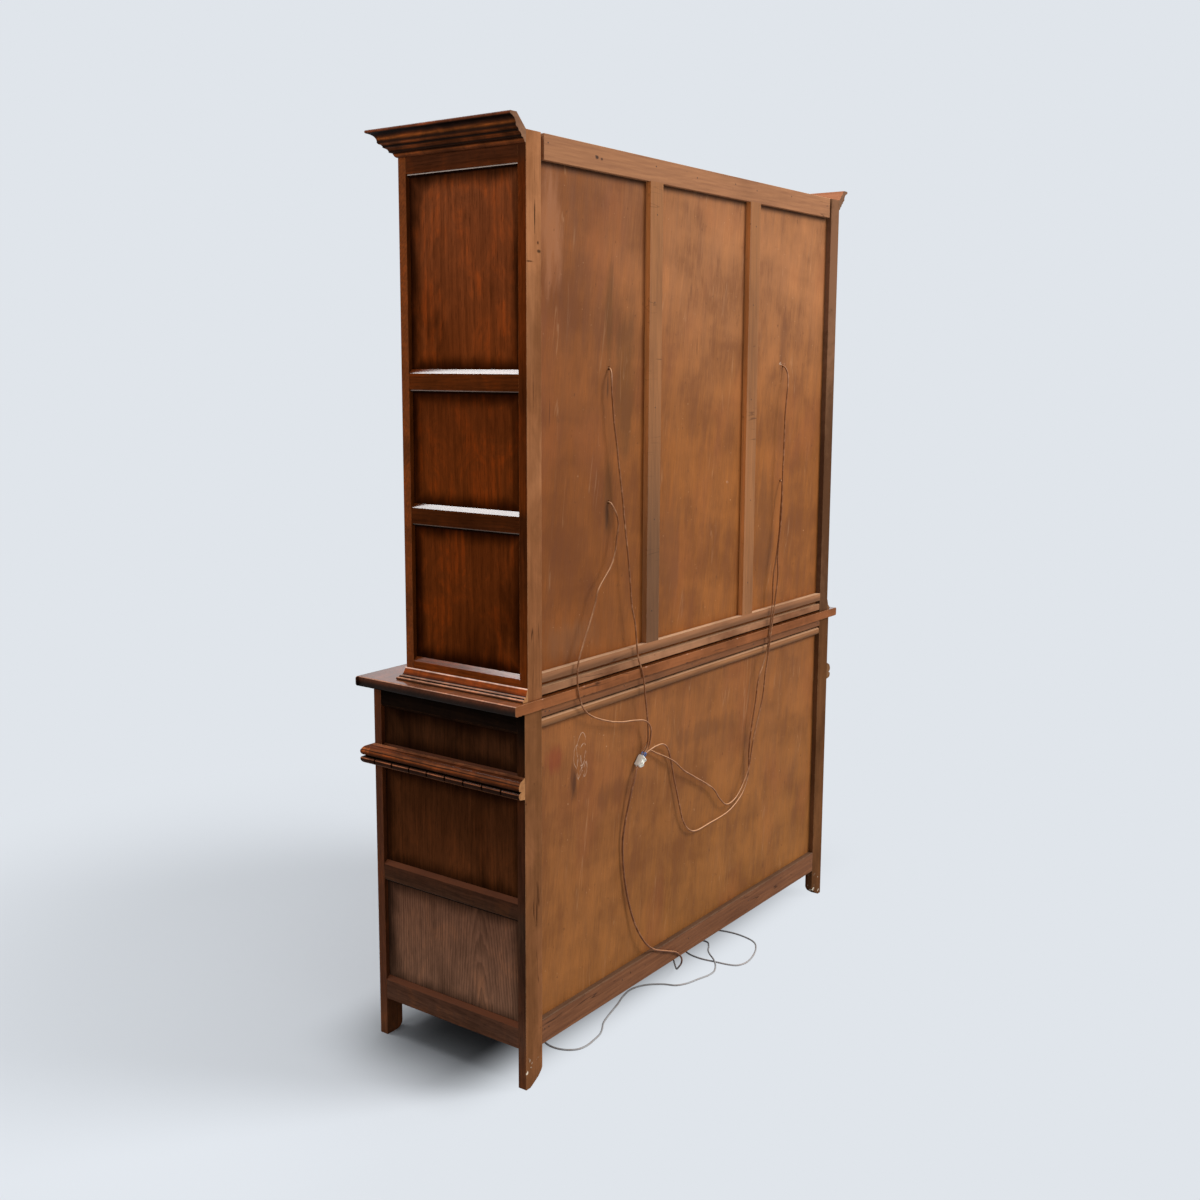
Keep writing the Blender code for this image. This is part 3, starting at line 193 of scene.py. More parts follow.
def moulding(name, node, section, level, half, front, front_scale, finishes, pitch=None, cut=None, hidden=0):
    """A moulding: its section carried round three sides, mitred at the two front corners.

    Station s has a foot on the carcass's outline and an outward direction; the point is the foot
    plus outward times out(k) times (1 - cut), at height level plus up(k). Along each run the cut
    is 1 at a carved notch and 0 between notches, on the section's points that the cut names.
    front_scale is how much further the section reaches out at the front. The first finish is the
    face's, the second is for the back and the section's last hidden lines, and the last for the
    two ends.
    """
    side, side_cuts = np.array([BACK_Y, BACK_Y - BACK_STEP]), np.zeros(2)
    run = run_cuts = np.zeros(0)
    if pitch:
        behind = FIRST_NOTCH + pitch * np.arange(int((BACK_Y - front - LAST_NOTCH) / pitch) + 1)
        count = int(2 * half / pitch)
        along = pitch * (np.arange(count) - count // 2)
        side = np.append(side, BACK_Y - behind[:, None] + NOTCH_STEPS)
        side_cuts = np.append(side_cuts, np.tile(NOTCH_DEPTHS, len(behind)))
        run = (along[::-1, None] + NOTCH_STEPS).ravel()
        run_cuts = np.tile(NOTCH_DEPTHS, count)
    side, side_cuts = np.append(side, front + CORNER_STEP), np.append(side_cuts, 0)
    mirrored = np.array([-1, 1])
    side_feet = np.stack([np.full(len(side), half + GAP), side], axis=1)
    corner = np.array([[half + GAP, front - GAP]])
    run_feet = np.stack([run, np.full(len(run), front - GAP)], axis=1)
    feet = np.vstack([side_feet, corner, run_feet, corner * mirrored, side_feet[::-1] * mirrored])
    outward = np.vstack([np.tile([1.0, 0.0], (len(side), 1)), [[1, -front_scale]],
                         np.tile([0.0, -front_scale], (len(run), 1)), [[-1, -front_scale]],
                         np.tile([-1.0, 0.0], (len(side), 1))])
    depths = np.concatenate([side_cuts, [0], run_cuts, [0], side_cuts[::-1]])[:, None]
    taken = np.zeros(len(section)) if cut is None else cut
    reach = section[:, 0] * MM * (1 - depths * taken)
    plan = feet[:, None, :] + outward[:, None, :] * reach[:, :, None]
    heights = np.broadcast_to(level + section[:, 1] * MM, reach.shape)
    points = np.concatenate([plan, heights[:, :, None]], axis=2).reshape(-1, 3)
    rows, columns = reach.shape
    last = len(finishes) - 1
    marks = np.append(np.tile(np.arange(columns) >= columns - 1 - hidden, rows - 1), [last, last])
    relief = relief_of(section, 3.0, 2.6)
    relief[len(relief) - hidden:] = 0
    relief = np.clip(relief - 2.0 * depths * (taken > 0), -1, 1)
    piece = add_piece(name, points, capped(rows, columns), finishes, "stained_oak", marks=marks, crease=32,
                      values=relief.ravel())
    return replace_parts(piece, node)


def placed(points, place, turn=None):
    """Points turned by a 3x3 matrix and moved to a place."""
    points = np.asarray(points, float).reshape(-1, 3)
    if turn is not None:
        points = points @ np.asarray(turn, float).T
    return points + np.asarray(place, float)


# Turns that point a turned shape's axis to the front and to the back
TO_FRONT = [[1, 0, 0], [0, 0, -1], [0, 1, 0]]
TO_BACK = [[1, 0, 0], [0, 0, 1], [0, -1, 0]]


def spun(section, steps, place, turn=None):
    """A turned shape, put in its place: its points and faces.

    Point (k, a) is (r(k) cos a, r(k) sin a, z(k)), with its poles on the axis.
    """
    a = np.linspace(0, 2 * math.pi, steps, endpoint=False)
    radius, up = section[:, :1] * MM, section[:, 1:] * MM
    up = np.broadcast_to(up, (len(section), steps))
    points = np.stack([radius * np.cos(a), radius * np.sin(a), up], axis=-1)
    return placed(points, place, turn), quads(len(section), steps, ring=True)


KNOB = section_of([(0, 24), (4, 23.7), (8, 22), (10.7, 19), (11.2, 16.5), (10.2, 14)],
                  [(10.2, 14), (9.4, 13.4)], [(9.4, 13.4), (7, 11), (5.2, 8), (5.1, 6), (6, 4)],
                  [(6, 4), (7.6, 3.6)], [(7.6, 3.6), (9.6, 2.8), (11, 0.9), (11, 0)], [(11, 0), (0, 0)])
KNOB_SIDES = 40


def knob(name, node, body, finish):
    """A turned wooden knob, its section spun about the line that leaves the face."""
    low, high = corners_of(node)
    x, _, z = (low + high) / 2
    relief = np.repeat(relief_of(KNOB, 1.6, 2.0), KNOB_SIDES)
    piece = add_piece(name, *spun(KNOB, KNOB_SIDES, (x, high[1], z), TO_FRONT), [finish], "stained_oak", body,
                      values=relief)
    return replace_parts(piece, node)


def tube(path, radius, sides):
    """A round tube: point (s, a) is P(s) + r(s) (cos a U(s) + sin a V(s)).

    U starts at right angles to the path and is carried along it with no twist, each U being the
    last one less its part along the new direction, and V completes the frame. Both ends are capped.
    """
    path = np.asarray(path, float)
    ahead = np.gradient(path, axis=0)
    ahead /= np.linalg.norm(ahead, axis=1, keepdims=True)
    start = np.cross(ahead[0], [0, 0, 1.0] if abs(ahead[0][2]) < 0.9 else [0, 1.0, 0])
    u = np.empty_like(path)
    u[0] = start / np.linalg.norm(start)
    for k in range(1, len(path)):
        side = u[k - 1] - (u[k - 1] @ ahead[k]) * ahead[k]
        u[k] = side / np.linalg.norm(side)
    v = np.cross(ahead, u)
    a = np.linspace(0, 2 * math.pi, sides, endpoint=False)[None, :, None]
    r = np.broadcast_to(np.asarray(radius, float), (len(path),))[:, None, None]
    points = path[:, None, :] + r * (np.cos(a) * u[:, None, :] + np.sin(a) * v[:, None, :])
    return points.reshape(-1, 3), capped(len(path), sides)


def gathered(parts):
    """Several (points, faces) solids as one list of points and one of faces."""
    points, faces, count = [], [], 0
    for some, corners in parts:
        points.append(np.asarray(some, float))
        faces += [[int(c) + count for c in face] for face in corners]
        count += len(some)
    return np.vstack(points), faces


# Camera: the photograph's own place, turn and lens, found from the carcass's edges.
# The photograph's side, focal length and centre are in its pixels, and the sensor in millimetres.
PHOTO_SIDE = 1200
PHOTO_FOCAL = 1343.18
PHOTO_CENTRE = (596.51, 572.39)
SENSOR = 36
CAMERA_AT = (2.60874, 1.59979 + BACK_Y, 1.44366)
YAW, PITCH, ROLL = -2.2011, -0.1508, 0.0042


def set_camera():
    """Camera axes from yaw, pitch and roll: ahead, right and up, then the roll about ahead."""
    ahead = Vector((math.sin(YAW) * math.cos(PITCH), math.cos(YAW) * math.cos(PITCH), math.sin(PITCH)))
    level = Vector((math.cos(YAW), -math.sin(YAW), 0))
    top = level.cross(ahead)
    right = math.cos(ROLL) * level + math.sin(ROLL) * top
    up = math.cos(ROLL) * top - math.sin(ROLL) * level
    camera = bpy.data.objects.new("camera", bpy.data.cameras.new("camera"))
    turn = Matrix((right, up, -ahead)).transposed().to_4x4()
    camera.matrix_world = Matrix.Translation(CAMERA_AT) @ turn
    camera.data.sensor_width = SENSOR
    camera.data.lens = PHOTO_FOCAL * SENSOR / PHOTO_SIDE
    camera.data.shift_x = (PHOTO_SIDE / 2 - PHOTO_CENTRE[0]) / PHOTO_SIDE
    camera.data.shift_y = (PHOTO_CENTRE[1] - PHOTO_SIDE / 2) / PHOTO_SIDE
    bpy.context.scene.collection.objects.link(camera)
    bpy.context.scene.camera = camera


set_camera()

# Cords. Routes in millimetres: across, back from the posts' back plane, and up.
# A hole is given by its x and its height above its shelf.
FLEX_D = 0.0034
LEAD_D = 0.0042
HOLES = {"upper_right": (0.359, 0.0209), "lower_right": (0.358, 0.016),
         "upper_left": (-0.3795, 0.028), "lower_left": (-0.381, 0.014)}
# How far a lamp's middle stands before the posts' back plane, and its holder's radius
LAMP_SETBACK = 0.055
LAMP_WALL_R = 0.013
ROUTES = {
    "upper_right": [
        (360.5, -8, 1442.3), (362.5, -4.6, 1437.5), (365, -1.5, 1429), (368, 1, 1419),
        (370, 2.6, 1405), (367, 3, 1378),
        (362, 4, 1331), (353, 4.5, 1289), (348, 5, 1257), (333, 5.5, 1178), (322, 6, 1108),
        (312, 6.5, 1052), (303, 7, 985), (297, 7, 943), (286, 7.5, 907), (281, 8, 872),
        (273, 8, 827), (260, 8, 802), (251, 8.5, 772), (246, 8, 744), (232, 5, 690),
        (222, 1, 650), (220.5, -1.5, 628)],
    "lower_right": [
        (357, -8, 1168.3), (355.5, -4.6, 1163.5), (352, -2, 1156), (346.5, 0.6, 1144),
        (343, 2.6, 1124), (348, 3, 1100),
        (357, 4, 1065), (372, 5, 1040), (404, 5.5, 1010), (419, 6, 994), (430, 6.5, 966),
        (450, 7, 929), (466, 7, 899), (482, 8, 871), (489, 8, 851), (491, 8, 825),
        (489, 8.5, 800), (481, 8, 776), (466, 7, 754), (439, 6, 735), (378, 5, 711),
        (331, 5, 699), (280, 7, 692), (246, 10, 684), (224, 9, 664), (220, 6, 640),
        (222.5, 3, 620)],
    "upper_left": [
        (-380.5, -8, 1449.3), (-382, -4.6, 1444.5), (-383, -1.5, 1437), (-382, 1.5, 1426),
        (-377, 4.6, 1407),
        (-370, 6, 1373), (-362, 7, 1329), (-360, 7.5, 1287), (-358, 8, 1238), (-355, 8, 1184),
        (-353, 8.5, 1094), (-349, 9, 1059), (-340, 9.5, 1010), (-336, 10, 973),
        (-339, 10.5, 935), (-332, 11, 898), (-319, 11.5, 841), (-303, 12, 775),
        (-293, 12, 731), (-284, 11, 689), (-279, 9, 639), (-262, 7, 588), (-239, 6, 529),
        (-225, 5, 470), (-211, 4, 443), (-168, 2, 402), (-124, 1, 395), (-94, 0, 416),
        (-63, 0, 449), (8, 0, 492), (76, 2, 530), (118, 3, 561), (158, 0, 583), (186, -2.5, 596),
        (206, -3.2, 606)],
    "lower_left": [
        (-379, -8, 1166.3), (-376, -4.6, 1161.5), (-371.5, -2, 1152), (-366, 1, 1133),
        (-358, 3, 1091),
        (-353, 4, 1046), (-344, 4.5, 1002), (-335, 5, 968), (-325, 5.5, 933), (-321, 6.5, 866),
        (-308, 7.5, 799), (-296, 8, 750), (-278, 7.5, 715), (-260, 6, 683), (-253, 3, 628),
        (-241, 1, 569), (-234, -1, 518), (-234, -2, 480), (-234, -3, 441), (-215, -3, 409),
        (-196, -3, 394), (-145, -3.5, 373), (-57, -4, 366), (16, -3.5, 366), (45, -3, 380),
        (67, -3.5, 407), (85, -4, 456), (108, -5, 526), (121, -4.5, 566), (139, -2, 597),
        (164, 1.5, 612), (189, 2.6, 614), (209, 2.4, 612)],
}
LEAD_ROUTE = [
    (269, -1, 561), (279, -2, 537), (288, -3, 509), (298, -5, 471), (306, -6, 430),
    (305, -7, 389), (297, -7, 334), (286, -6, 288), (271, -4, 242), (252, 0, 199),
    (222, 3.2, 159), (189, 3.5, 135), (143, 3.5, 115), (100, 3.5, 96), (81, 3, 81),
    (70, 1, 68), (58, -8, 50), (44, -24, 31), (24, -42, 14), (-2, -62, 5), (-38, -92, 2.4),
    (-84, -133, 2.4), (-140, -155, 2.4), (-200, -148, 2.4), (-243, -112, 2.4),
    (-260, -60, 2.4), (-257, -14, 2.4), (-243, 20, 2.4), (-213, 42, 2.4), (-159, 60, 2.4),
    (-123, 62, 2.4), (-101, 52, 2.4), (-92, 32, 2.4), (-87, 2, 2.4), (-81, -42, 2.4),
    (-89, -82, 2.4), (-114, -110, 2.4), (-148, -114, 2.4), (-172, -97, 2.4), (-173, -76, 2.4),
    (-155, -61, 2.4), (-131, -48, 3.4), (-107, -28, 6.4), (-85, -4, 7.8), (-62, 15, 5.8),
    (-39, 25, 3), (-15, 25, 2.4), (19, 16, 2.4), (55, 6, 2.4), (78, -9, 2.4), (92, -38, 2.4),
    (120, -68, 2.4), (155, -82, 2.4), (195, -78, 2.4), (237, -65, 2.4), (264, -58, 2.4),
    (305, -47, 2.4), (331, -38, 2.4), (355, -24, 2.4), (375, -15, 2.4), (405, -10, 2.4),
    (435, -8, 2.4), (457, -14, 2.4), (474, -32, 2.4), (482, -60, 2.4), (476, -88, 2.4),
    (454, -109, 2.4), (424, -120, 3), (396, -127, 5),
]
# The terminal block: its length, depth, tilt and middle, how far from it a cord comes into line, and
# how far aside a flex enters. ENDS gives each flex's sides there: across the wires, and to the back.
TERMINAL_L = 0.026
TERMINAL_DEEP = 0.020
TERMINAL_TILT = math.radians(-45)
TERMINAL_AT = Vector((0.246, STRIP_IN + TERMINAL_DEEP / 2, 0.5915))
TERMINAL_OUT = 0.008
CORD_SPREAD = 0.0023
ENDS = {"upper_right": (1, -1), "lower_right": (1, 1), "upper_left": (-1, -1), "lower_left": (-1, 1)}
# Where the lead enters the plug, the plug's turn about the upright, and the lead's straight end
PLUG_TIP = Vector((0.352, BACK_Y - 0.134, 0.0073))
PLUG_TURN = math.radians(187)
LEAD_STRAIGHT = 0.016
# The directions along the terminal block's wires and across them
WIRES = Vector((math.sin(TERMINAL_TILT), 0, math.cos(TERMINAL_TILT)))
ACROSS = Vector((math.cos(TERMINAL_TILT), 0, -math.sin(TERMINAL_TILT)))


def terminal_point(along, across, deep):
    """A point by the terminal block: along its wires, across them, and back from its middle."""
    return TERMINAL_AT + along * WIRES + across * ACROSS + Vector((0, deep, 0))


def on_route(route):
    """A route's points in the scene."""
    return [Vector((x * MM, BACK_Y + y * MM, z * MM)) for x, y, z in route]


def between(t, low, high, first, last):
    """The point at t of the line that passes its first point at low and its last one at high."""
    return (high - t) / (high - low) * first + (t - low) / (high - low) * last


def smooth_path(points, steps=16):
    """Close points on one smooth curve through a route's points.

    Each point's own t grows by the square root of its distance from the last one. Between points
    1 and 2 of four in a row, the curve blends the lines 01, 12 and 23 in pairs, and then the pair.
    """
    pts = np.array([tuple(point) for point in points])
    pts = np.vstack([2 * pts[0] - pts[1], pts, 2 * pts[-1] - pts[-2]])
    dense = []
    for p0, p1, p2, p3 in zip(pts, pts[1:], pts[2:], pts[3:]):
        t1 = np.linalg.norm(p1 - p0) ** 0.5
        t2 = t1 + np.linalg.norm(p2 - p1) ** 0.5
        t3 = t2 + np.linalg.norm(p3 - p2) ** 0.5
        t = np.linspace(t1, t2, steps, endpoint=False)[:, None]
        middle = between(t, t1, t2, p1, p2)
        early = between(t, 0, t2, between(t, 0, t1, p0, p1), middle)
        late = between(t, t1, t3, middle, between(t, t2, t3, p2, p3))
        dense.append(between(t, t1, t2, early, late))
    return np.vstack(dense + [pts[-2:-1]])


def flex_path(tag):
    """A lamp's flex: out of the lamp, straight through the hole, down the back, into the block."""
    x, up = HOLES[tag]
    shelf = SHELF_TOP[tag.split("_")[0]]
    outlet = BACK_Y - LAMP_SETBACK + LAMP_WALL_R + GAP
    points = [Vector((x, y, shelf + up)) for y in (outlet, SHEET_IN, SHEET_OUT)] + on_route(ROUTES[tag])
    across, deep = (CORD_SPREAD * sign for sign in ENDS[tag])
    end = TERMINAL_L / 2 + GAP
    return smooth_path(points + [terminal_point(end + TERMINAL_OUT, across, deep),
                                 terminal_point(end, across, deep)])


def lead_path():
    """The mains lead: out of the block's lower end, down the back and along the floor to its plug."""
    heading = Vector((math.cos(PLUG_TURN), math.sin(PLUG_TURN), 0))
    end = -TERMINAL_L / 2 - GAP
    points = [terminal_point(end, 0, 0), terminal_point(end - TERMINAL_OUT, 0, 0)] + on_route(LEAD_ROUTE)
    return smooth_path(points + [PLUG_TIP - heading * (GAP + LEAD_STRAIGHT), PLUG_TIP - heading * GAP])


# Finishes

def shade(red, green, blue):
    """A colour as seen on screen, 0 to 255, as the linear colour that shaders take."""
    seen = np.array([red, green, blue]) / 255
    linear = np.where(seen <= 0.04045, seen / 12.92, ((seen + 0.055) / 1.055) ** 2.4)
    return (*(float(c) for c in linear), 1.0)


class Nodes:
    """A shader tree, with short names for the nodes that the finishes share.

    The finishes call it t. connect and add return the node, use, split and facing its outputs, and
    the rest return the one socket that holds the result.
    """

    def __init__(self, tree):
        self.tree = tree

    def connect(self, node, inputs):
        """A node with its inputs set or linked, by name or number."""
        for key, value in inputs.items():
            if isinstance(value, bpy.types.NodeSocket):
                self.tree.links.new(value, node.inputs[key])
            else:
                node.inputs[key].default_value = value
        return node

    def add(self, kind, inputs=None, **settings):
        """A new node with its properties set, and its inputs set or linked."""
        made = self.tree.nodes.new("ShaderNode" + kind)
        for key, value in settings.items():
            setattr(made, key, value)
        return self.connect(made, inputs or {})

    def use(self, group, **inputs):
        """A node group's outputs."""
        return self.connect(self.add("Group", node_tree=group), inputs).outputs

    def math(self, operation, first, second=0.0, third=0.0):
        return self.add("Math", {0: first, 1: second, 2: third}, operation=operation).outputs[0]

    def times(self, first, *others):
        for other in others:
            first = self.math("MULTIPLY", first, other)
        return first

    def mad(self, value, factor, more):
        """A value times a factor, and more added."""
        return self.math("MULTIPLY_ADD", value, factor, more)

    def most(self, first, second):
        return self.math("MAXIMUM", first, second)

    def vector(self, operation, *inputs):
        return self.add("VectorMath", dict(enumerate(inputs)), operation=operation).outputs[0]

    def length(self, vector):
        return self.add("VectorMath", {0: vector}, operation="LENGTH").outputs["Value"]

    def split(self, vector):
        return self.add("SeparateXYZ", {0: vector}).outputs

    def facing(self):
        """The surface's own normal, as x, y and z."""
        return self.split(self.add("NewGeometry").outputs["Normal"])

    def spread(self, value, low, high, to_low=0.0, to_high=1.0):
        """A value's range turned into another one, with soft ends."""
        return self.add("MapRange", {0: value, 1: low, 2: high, 3: to_low, 4: to_high},
                        interpolation_type="SMOOTHSTEP").outputs[0]

    def noise(self, place, scale, detail=2.0, rough=0.5, twist=0.0, move=(0, 0, 0)):
        """Noise of one scale, or of a scale for each axis after a move."""
        if isinstance(scale, tuple):
            place = self.add("Mapping", {"Vector": place, "Location": move, "Scale": scale}).outputs[0]
            scale = 1.0
        return self.add("TexNoise", {"Vector": place, "Scale": scale, "Detail": detail, "Roughness": rough,
                                     "Distortion": twist}).outputs["Fac"]

    def blend(self, factor, first, second, mode="MIX"):
        """Two colours mixed. A tuple of three is a colour as seen on screen."""
        first, second = (shade(*c) if isinstance(c, tuple) and len(c) == 3 else c for c in (first, second))
        return self.add("Mix", {0: factor, 6: first, 7: second}, data_type="RGBA", blend_type=mode).outputs[2]

    def layers(self, colour, *coats):
        """Tones laid over a colour one by one, each by its weight."""
        for weight, tone in coats:
            colour = self.blend(weight, colour, tone)
        return colour

    def scaled(self, colour, *factors):
        """A colour times each factor."""
        for factor in factors:
            colour = self.add("VectorMath", {0: colour, 3: factor}, operation="SCALE").outputs[0]
        return colour

    def bump(self, height, strength, distance, **normal):
        given = {"Height": height, "Strength": strength, "Distance": distance, **normal}
        return self.add("Bump", given).outputs[0]


def new_group(name, inputs, outputs):
    """An empty node group with its named sockets: its nodes, its inputs' sockets and its end node.

    An input whose own value is a number is a float, and any other is a vector. Normal is the one
    output that is a vector.
    """
    tree = bpy.data.node_groups.new(name, "ShaderNodeTree")
    for label, value in inputs.items():
        kind = "Float" if isinstance(value, float) else "Vector"
        socket = tree.interface.new_socket(label, in_out="INPUT", socket_type="NodeSocket" + kind)
        if value is not None:
            socket.default_value = value
    for label in outputs:
        kind = "Vector" if label == "Normal" else "Float"
        tree.interface.new_socket(label, in_out="OUTPUT", socket_type="NodeSocket" + kind)
    return Nodes(tree), tree.nodes.new("NodeGroupInput").outputs, tree.nodes.new("NodeGroupOutput")


def make_grain():
    """Wood grain along Z: growth rings about a leaning heart, with streaks, pores and clouds.

    At (u, v, w) from the heart a ring starts where r / Spacing passes a whole number, with
    r^2 = u^2 + (v + Lean w)^2, wavered by a slow noise and by a fine one that frays the rings.
    """
    t, given, end = new_group("wood grain", {"Vector": None, "Heart": None, "Lean": 0.1, "Spacing": 0.007},
                              ("Figure", "Streaks", "Pores", "Clouds"))
    place = given["Vector"]
    u, v, w = t.split(t.vector("SUBTRACT", place, given["Heart"]))
    v = t.mad(w, given["Lean"], v)
    r = t.length(t.add("CombineXYZ", {0: u, 1: v}).outputs[0])
    r = t.mad(t.noise(place, (11.0, 11.0, 2.6), 3.0, 0.55), 0.03, r)
    r = t.mad(t.noise(place, (210.0, 210.0, 22.0), 3.0, 0.6), 0.0042, r)
    ring = t.math("FRACT", t.math("DIVIDE", r, given["Spacing"]))
    t.connect(end, {
        "Figure": t.math("SUBTRACT", 1.0, t.times(t.spread(ring, 0.1, 0.86), t.spread(ring, 1.0, 0.88))),
        "Streaks": t.spread(t.noise(place, (130.0, 130.0, 4.5), 6.0, 0.68), 0.28, 0.72),
        "Pores": t.spread(t.noise(place, (700.0, 700.0, 42.0), 1.0), 0.56, 0.7),
        "Clouds": t.noise(place, (9.0, 9.0, 3.0), 4.0, 0.6)})
    return t.tree


def make_edges():
    """Edges of a piece: where the bevelled normal leaves the true one, broken up by rubbing."""
    t, given, end = new_group("worn edges", {"Vector": None, "Width": 0.0016}, ("Edge", "Normal"))
    soft = t.add("Bevel", {"Radius": given["Width"]}, samples=4).outputs[0]
    true = t.add("NewGeometry").outputs["Normal"]
    along = t.add("VectorMath", {0: soft, 1: true}, operation="DOT_PRODUCT").outputs["Value"]
    rub = t.noise(given["Vector"], 45.0, 3.0, 0.6)
    t.connect(end, {"Edge": t.times(t.spread(along, 0.995, 0.9), t.spread(rub, 0.34, 0.62)), "Normal": soft})
    return t.tree


def make_within():
    """1 inside a box given by its middle and half sizes, and 0 outside."""
    t, given, end = new_group("within", {"Vector": None, "Middle": None, "Half": None}, ("Inside",))
    off = t.vector("ABSOLUTE", t.vector("SUBTRACT", given["Vector"], given["Middle"]))
    x, y, z = t.split(t.vector("SUBTRACT", off, given["Half"]))
    t.connect(end, {"Inside": t.math("LESS_THAN", t.most(t.most(x, y), z), 0.0)})
    return t.tree


def make_border_stain_and_shade():
    """Old stain and painted shade along a panel's border: 1 at the box's Y and Z limits, ragged, to 0 inside
    it.
    """
    t, given, end = new_group("border stain and shade", {"Vector": None, "Middle": None, "Half": None,
                                                 "Reach": 0.035}, ("Border",))
    off = t.vector("ABSOLUTE", t.vector("SUBTRACT", given["Vector"], given["Middle"]))
    _, y, z = t.split(t.vector("SUBTRACT", given["Half"], off))
    least = t.math("MINIMUM", y, z)
    ragged = t.noise(given["Vector"], (16.0, 16.0, 7.0), 4.0, 0.6)
    edge = t.spread(t.mad(ragged, 0.03, t.math("SUBTRACT", least, 0.015)), given["Reach"], 0.0)
    # Painted shade: a thin dark line right at the box's limits, where the panel meets its frame
    crease = t.spread(least, 0.006, 0.001)
    t.connect(end, {"Border": t.times(t.most(edge, crease), t.math("GREATER_THAN", least, -0.02))})
    return t.tree


def make_scrape():
    """A thin scraped loop on a face across Y: an ellipse's line, wavering, with gaps in it."""
    t, given, end = new_group("scraped loop", {"Vector": None, "Middle": None, "Stretch": (20.0, 0.0, 20.0),
                                               "Width": 0.06}, ("Line",))
    waver = t.add("TexNoise", {"Vector": given["Vector"], "Scale": 22.0, "Detail": 3.0}).outputs["Color"]
    place = t.vector("MULTIPLY_ADD", waver, (0.02, 0.0, 0.02), given["Vector"])
    off = t.vector("MULTIPLY", t.vector("SUBTRACT", place, given["Middle"]), given["Stretch"])
    ring = t.math("ABSOLUTE", t.math("SUBTRACT", t.length(off), 1.0))
    gaps = t.noise(given["Vector"], 60.0, 3.0)
    t.connect(end, {"Line": t.times(t.spread(ring, given["Width"], 0.0), t.spread(gaps, 0.4, 0.55))})
    return t.tree


def make_cracks():
    """Thin cracks along Z: the lines where a slow noise passes its middle, kept in a few places only."""
    t, given, end = new_group("hairline cracks", {"Vector": None, "Amount": 0.5}, ("Crack",))
    slow = t.noise(given["Vector"], (48.0, 48.0, 3.2), 2.0, 0.4)
    line = t.spread(t.math("ABSOLUTE", t.math("SUBTRACT", slow, 0.5)), 0.014, 0.004)
    kept = t.spread(t.noise(given["Vector"], (14.0, 14.0, 6.0), move=(3.0, 1.0, 0.0)), 0.56, 0.64)
    t.connect(end, {"Crack": t.times(line, kept, given["Amount"])})
    return t.tree


GRAIN = make_grain()
EDGES = make_edges()
WITHIN = make_within()
BORDER_STAIN_AND_SHADE = make_border_stain_and_shade()
SCRAPE = make_scrape()
CRACKS = make_cracks()

# Colours that wood is multiplied by: where the stain turns orange, and where a strip's side is lit
AMBER = (1.75, 1.25, 0.62, 1.0)
LIT_SIDE = (2.05, 1.85, 1.45, 1.0)
# How far the painted shade line under a bead lies below its painted highlight line, and half the shade line's
# height
BEAD_SHADE_DROP = 0.0034
BEAD_SHADE_HALF = 0.0026

# The axes that become u, v and w for each way the grain can run. "side" is upright grain on a
# board that faces along X, so that the heart's depth is along X too.
GRAIN_ORDER = {"x": (1, 2, 0), "y": (2, 0, 1), "z": (0, 1, 2), "side": (1, 0, 2)}


def new_finish(name):
    """A material, its nodes, its shader, and the Object coordinates that its pattern reads."""
    finish = bpy.data.materials.new(name)
    finish.use_nodes = True
    t = Nodes(finish.node_tree)
    return finish, t, finish.node_tree.nodes["Principled BSDF"], t.add("TexCoord").outputs["Object"]


def put_along(t, place, axis):
    """The coordinates turned so that the given axis becomes Z, the way the grain runs."""
    parts = t.split(place)
    return t.add("CombineXYZ", {k: parts[part] for k, part in enumerate(GRAIN_ORDER[axis])}).outputs[0]


def in_boxes(t, place, *boxes):
    """1 where a point is in one of the boxes, given by middle and half sizes."""
    found = None
    for middle, half in boxes:
        inside = t.use(WITHIN, Vector=place, Middle=middle, Half=half)[0]
        found = inside if found is None else t.most(found, inside)
    return found


def grained(t, place, axis, seed, crossed=(), cross_axis="z", mirror=False, heart=None, lean=0.1,
            spacing=0.007):
    """The grain group's outputs on a piece, and the mask of the boxes where it runs the other way.

    mirror holds the boxes for both signs of x. The heart is a place in the grain's own order of
    axes. Without one it lies a hand's breadth off, at a place that the seed chooses, and the
    grain comes out nearly straight.
    """
    run, mask = put_along(t, place, axis), None
    if crossed:
        mask = in_boxes(t, t.vector("ABSOLUTE", place) if mirror else place, *crossed)
        other = put_along(t, place, cross_axis)
        run = t.add("Mix", {0: mask, 4: run, 5: other}, data_type="VECTOR").outputs[1]
    if heart is None:
        heart = (1.4 * math.sin(seed), 1.4 * math.cos(1.7 * seed) + 0.5, 0.0)
    return t.use(GRAIN, Vector=run, Heart=heart, Lean=lean, Spacing=spacing), mask


def tint_by_height(t, z, stops):
    """A tint that changes with height: stops are heights in metres, rising, and their colours.

    The ramp is spread over the stops' own heights, because it holds 256 steps only.
    """
    low, high = stops[0][0], stops[-1][0]
    share = t.add("MapRange", {0: z, 1: low, 2: high}).outputs[0]
    ramp = t.add("ValToRGB", {0: share})
    marks = ramp.color_ramp.elements
    for number, (height, colour) in enumerate(stops):
        place = (height - low) / (high - low)
        mark = marks[number] if number < 2 else marks.new(place)
        mark.position = place
        mark.color = shade(*colour)
    return ramp.outputs[0]


def marked(t, place, colour, waver, marks):
    """Stains and painted shadows put on the back: each has a middle (x, z), half sizes, a tone and a weight.
    """
    for (mark_x, mark_z), (half_x, half_z), tone, weight in marks:
        off = t.vector("SUBTRACT", place, (mark_x, 0.0, mark_z))
        off = t.length(t.vector("MULTIPLY", off, (1 / half_x, 0.0, 1 / half_z)))
        off = t.math("ADD", off, t.mad(waver, 1.6, -0.8))
        colour = t.blend(t.spread(off, 1.0, 0.3, 0.0, weight), colour, tone)
    return colour


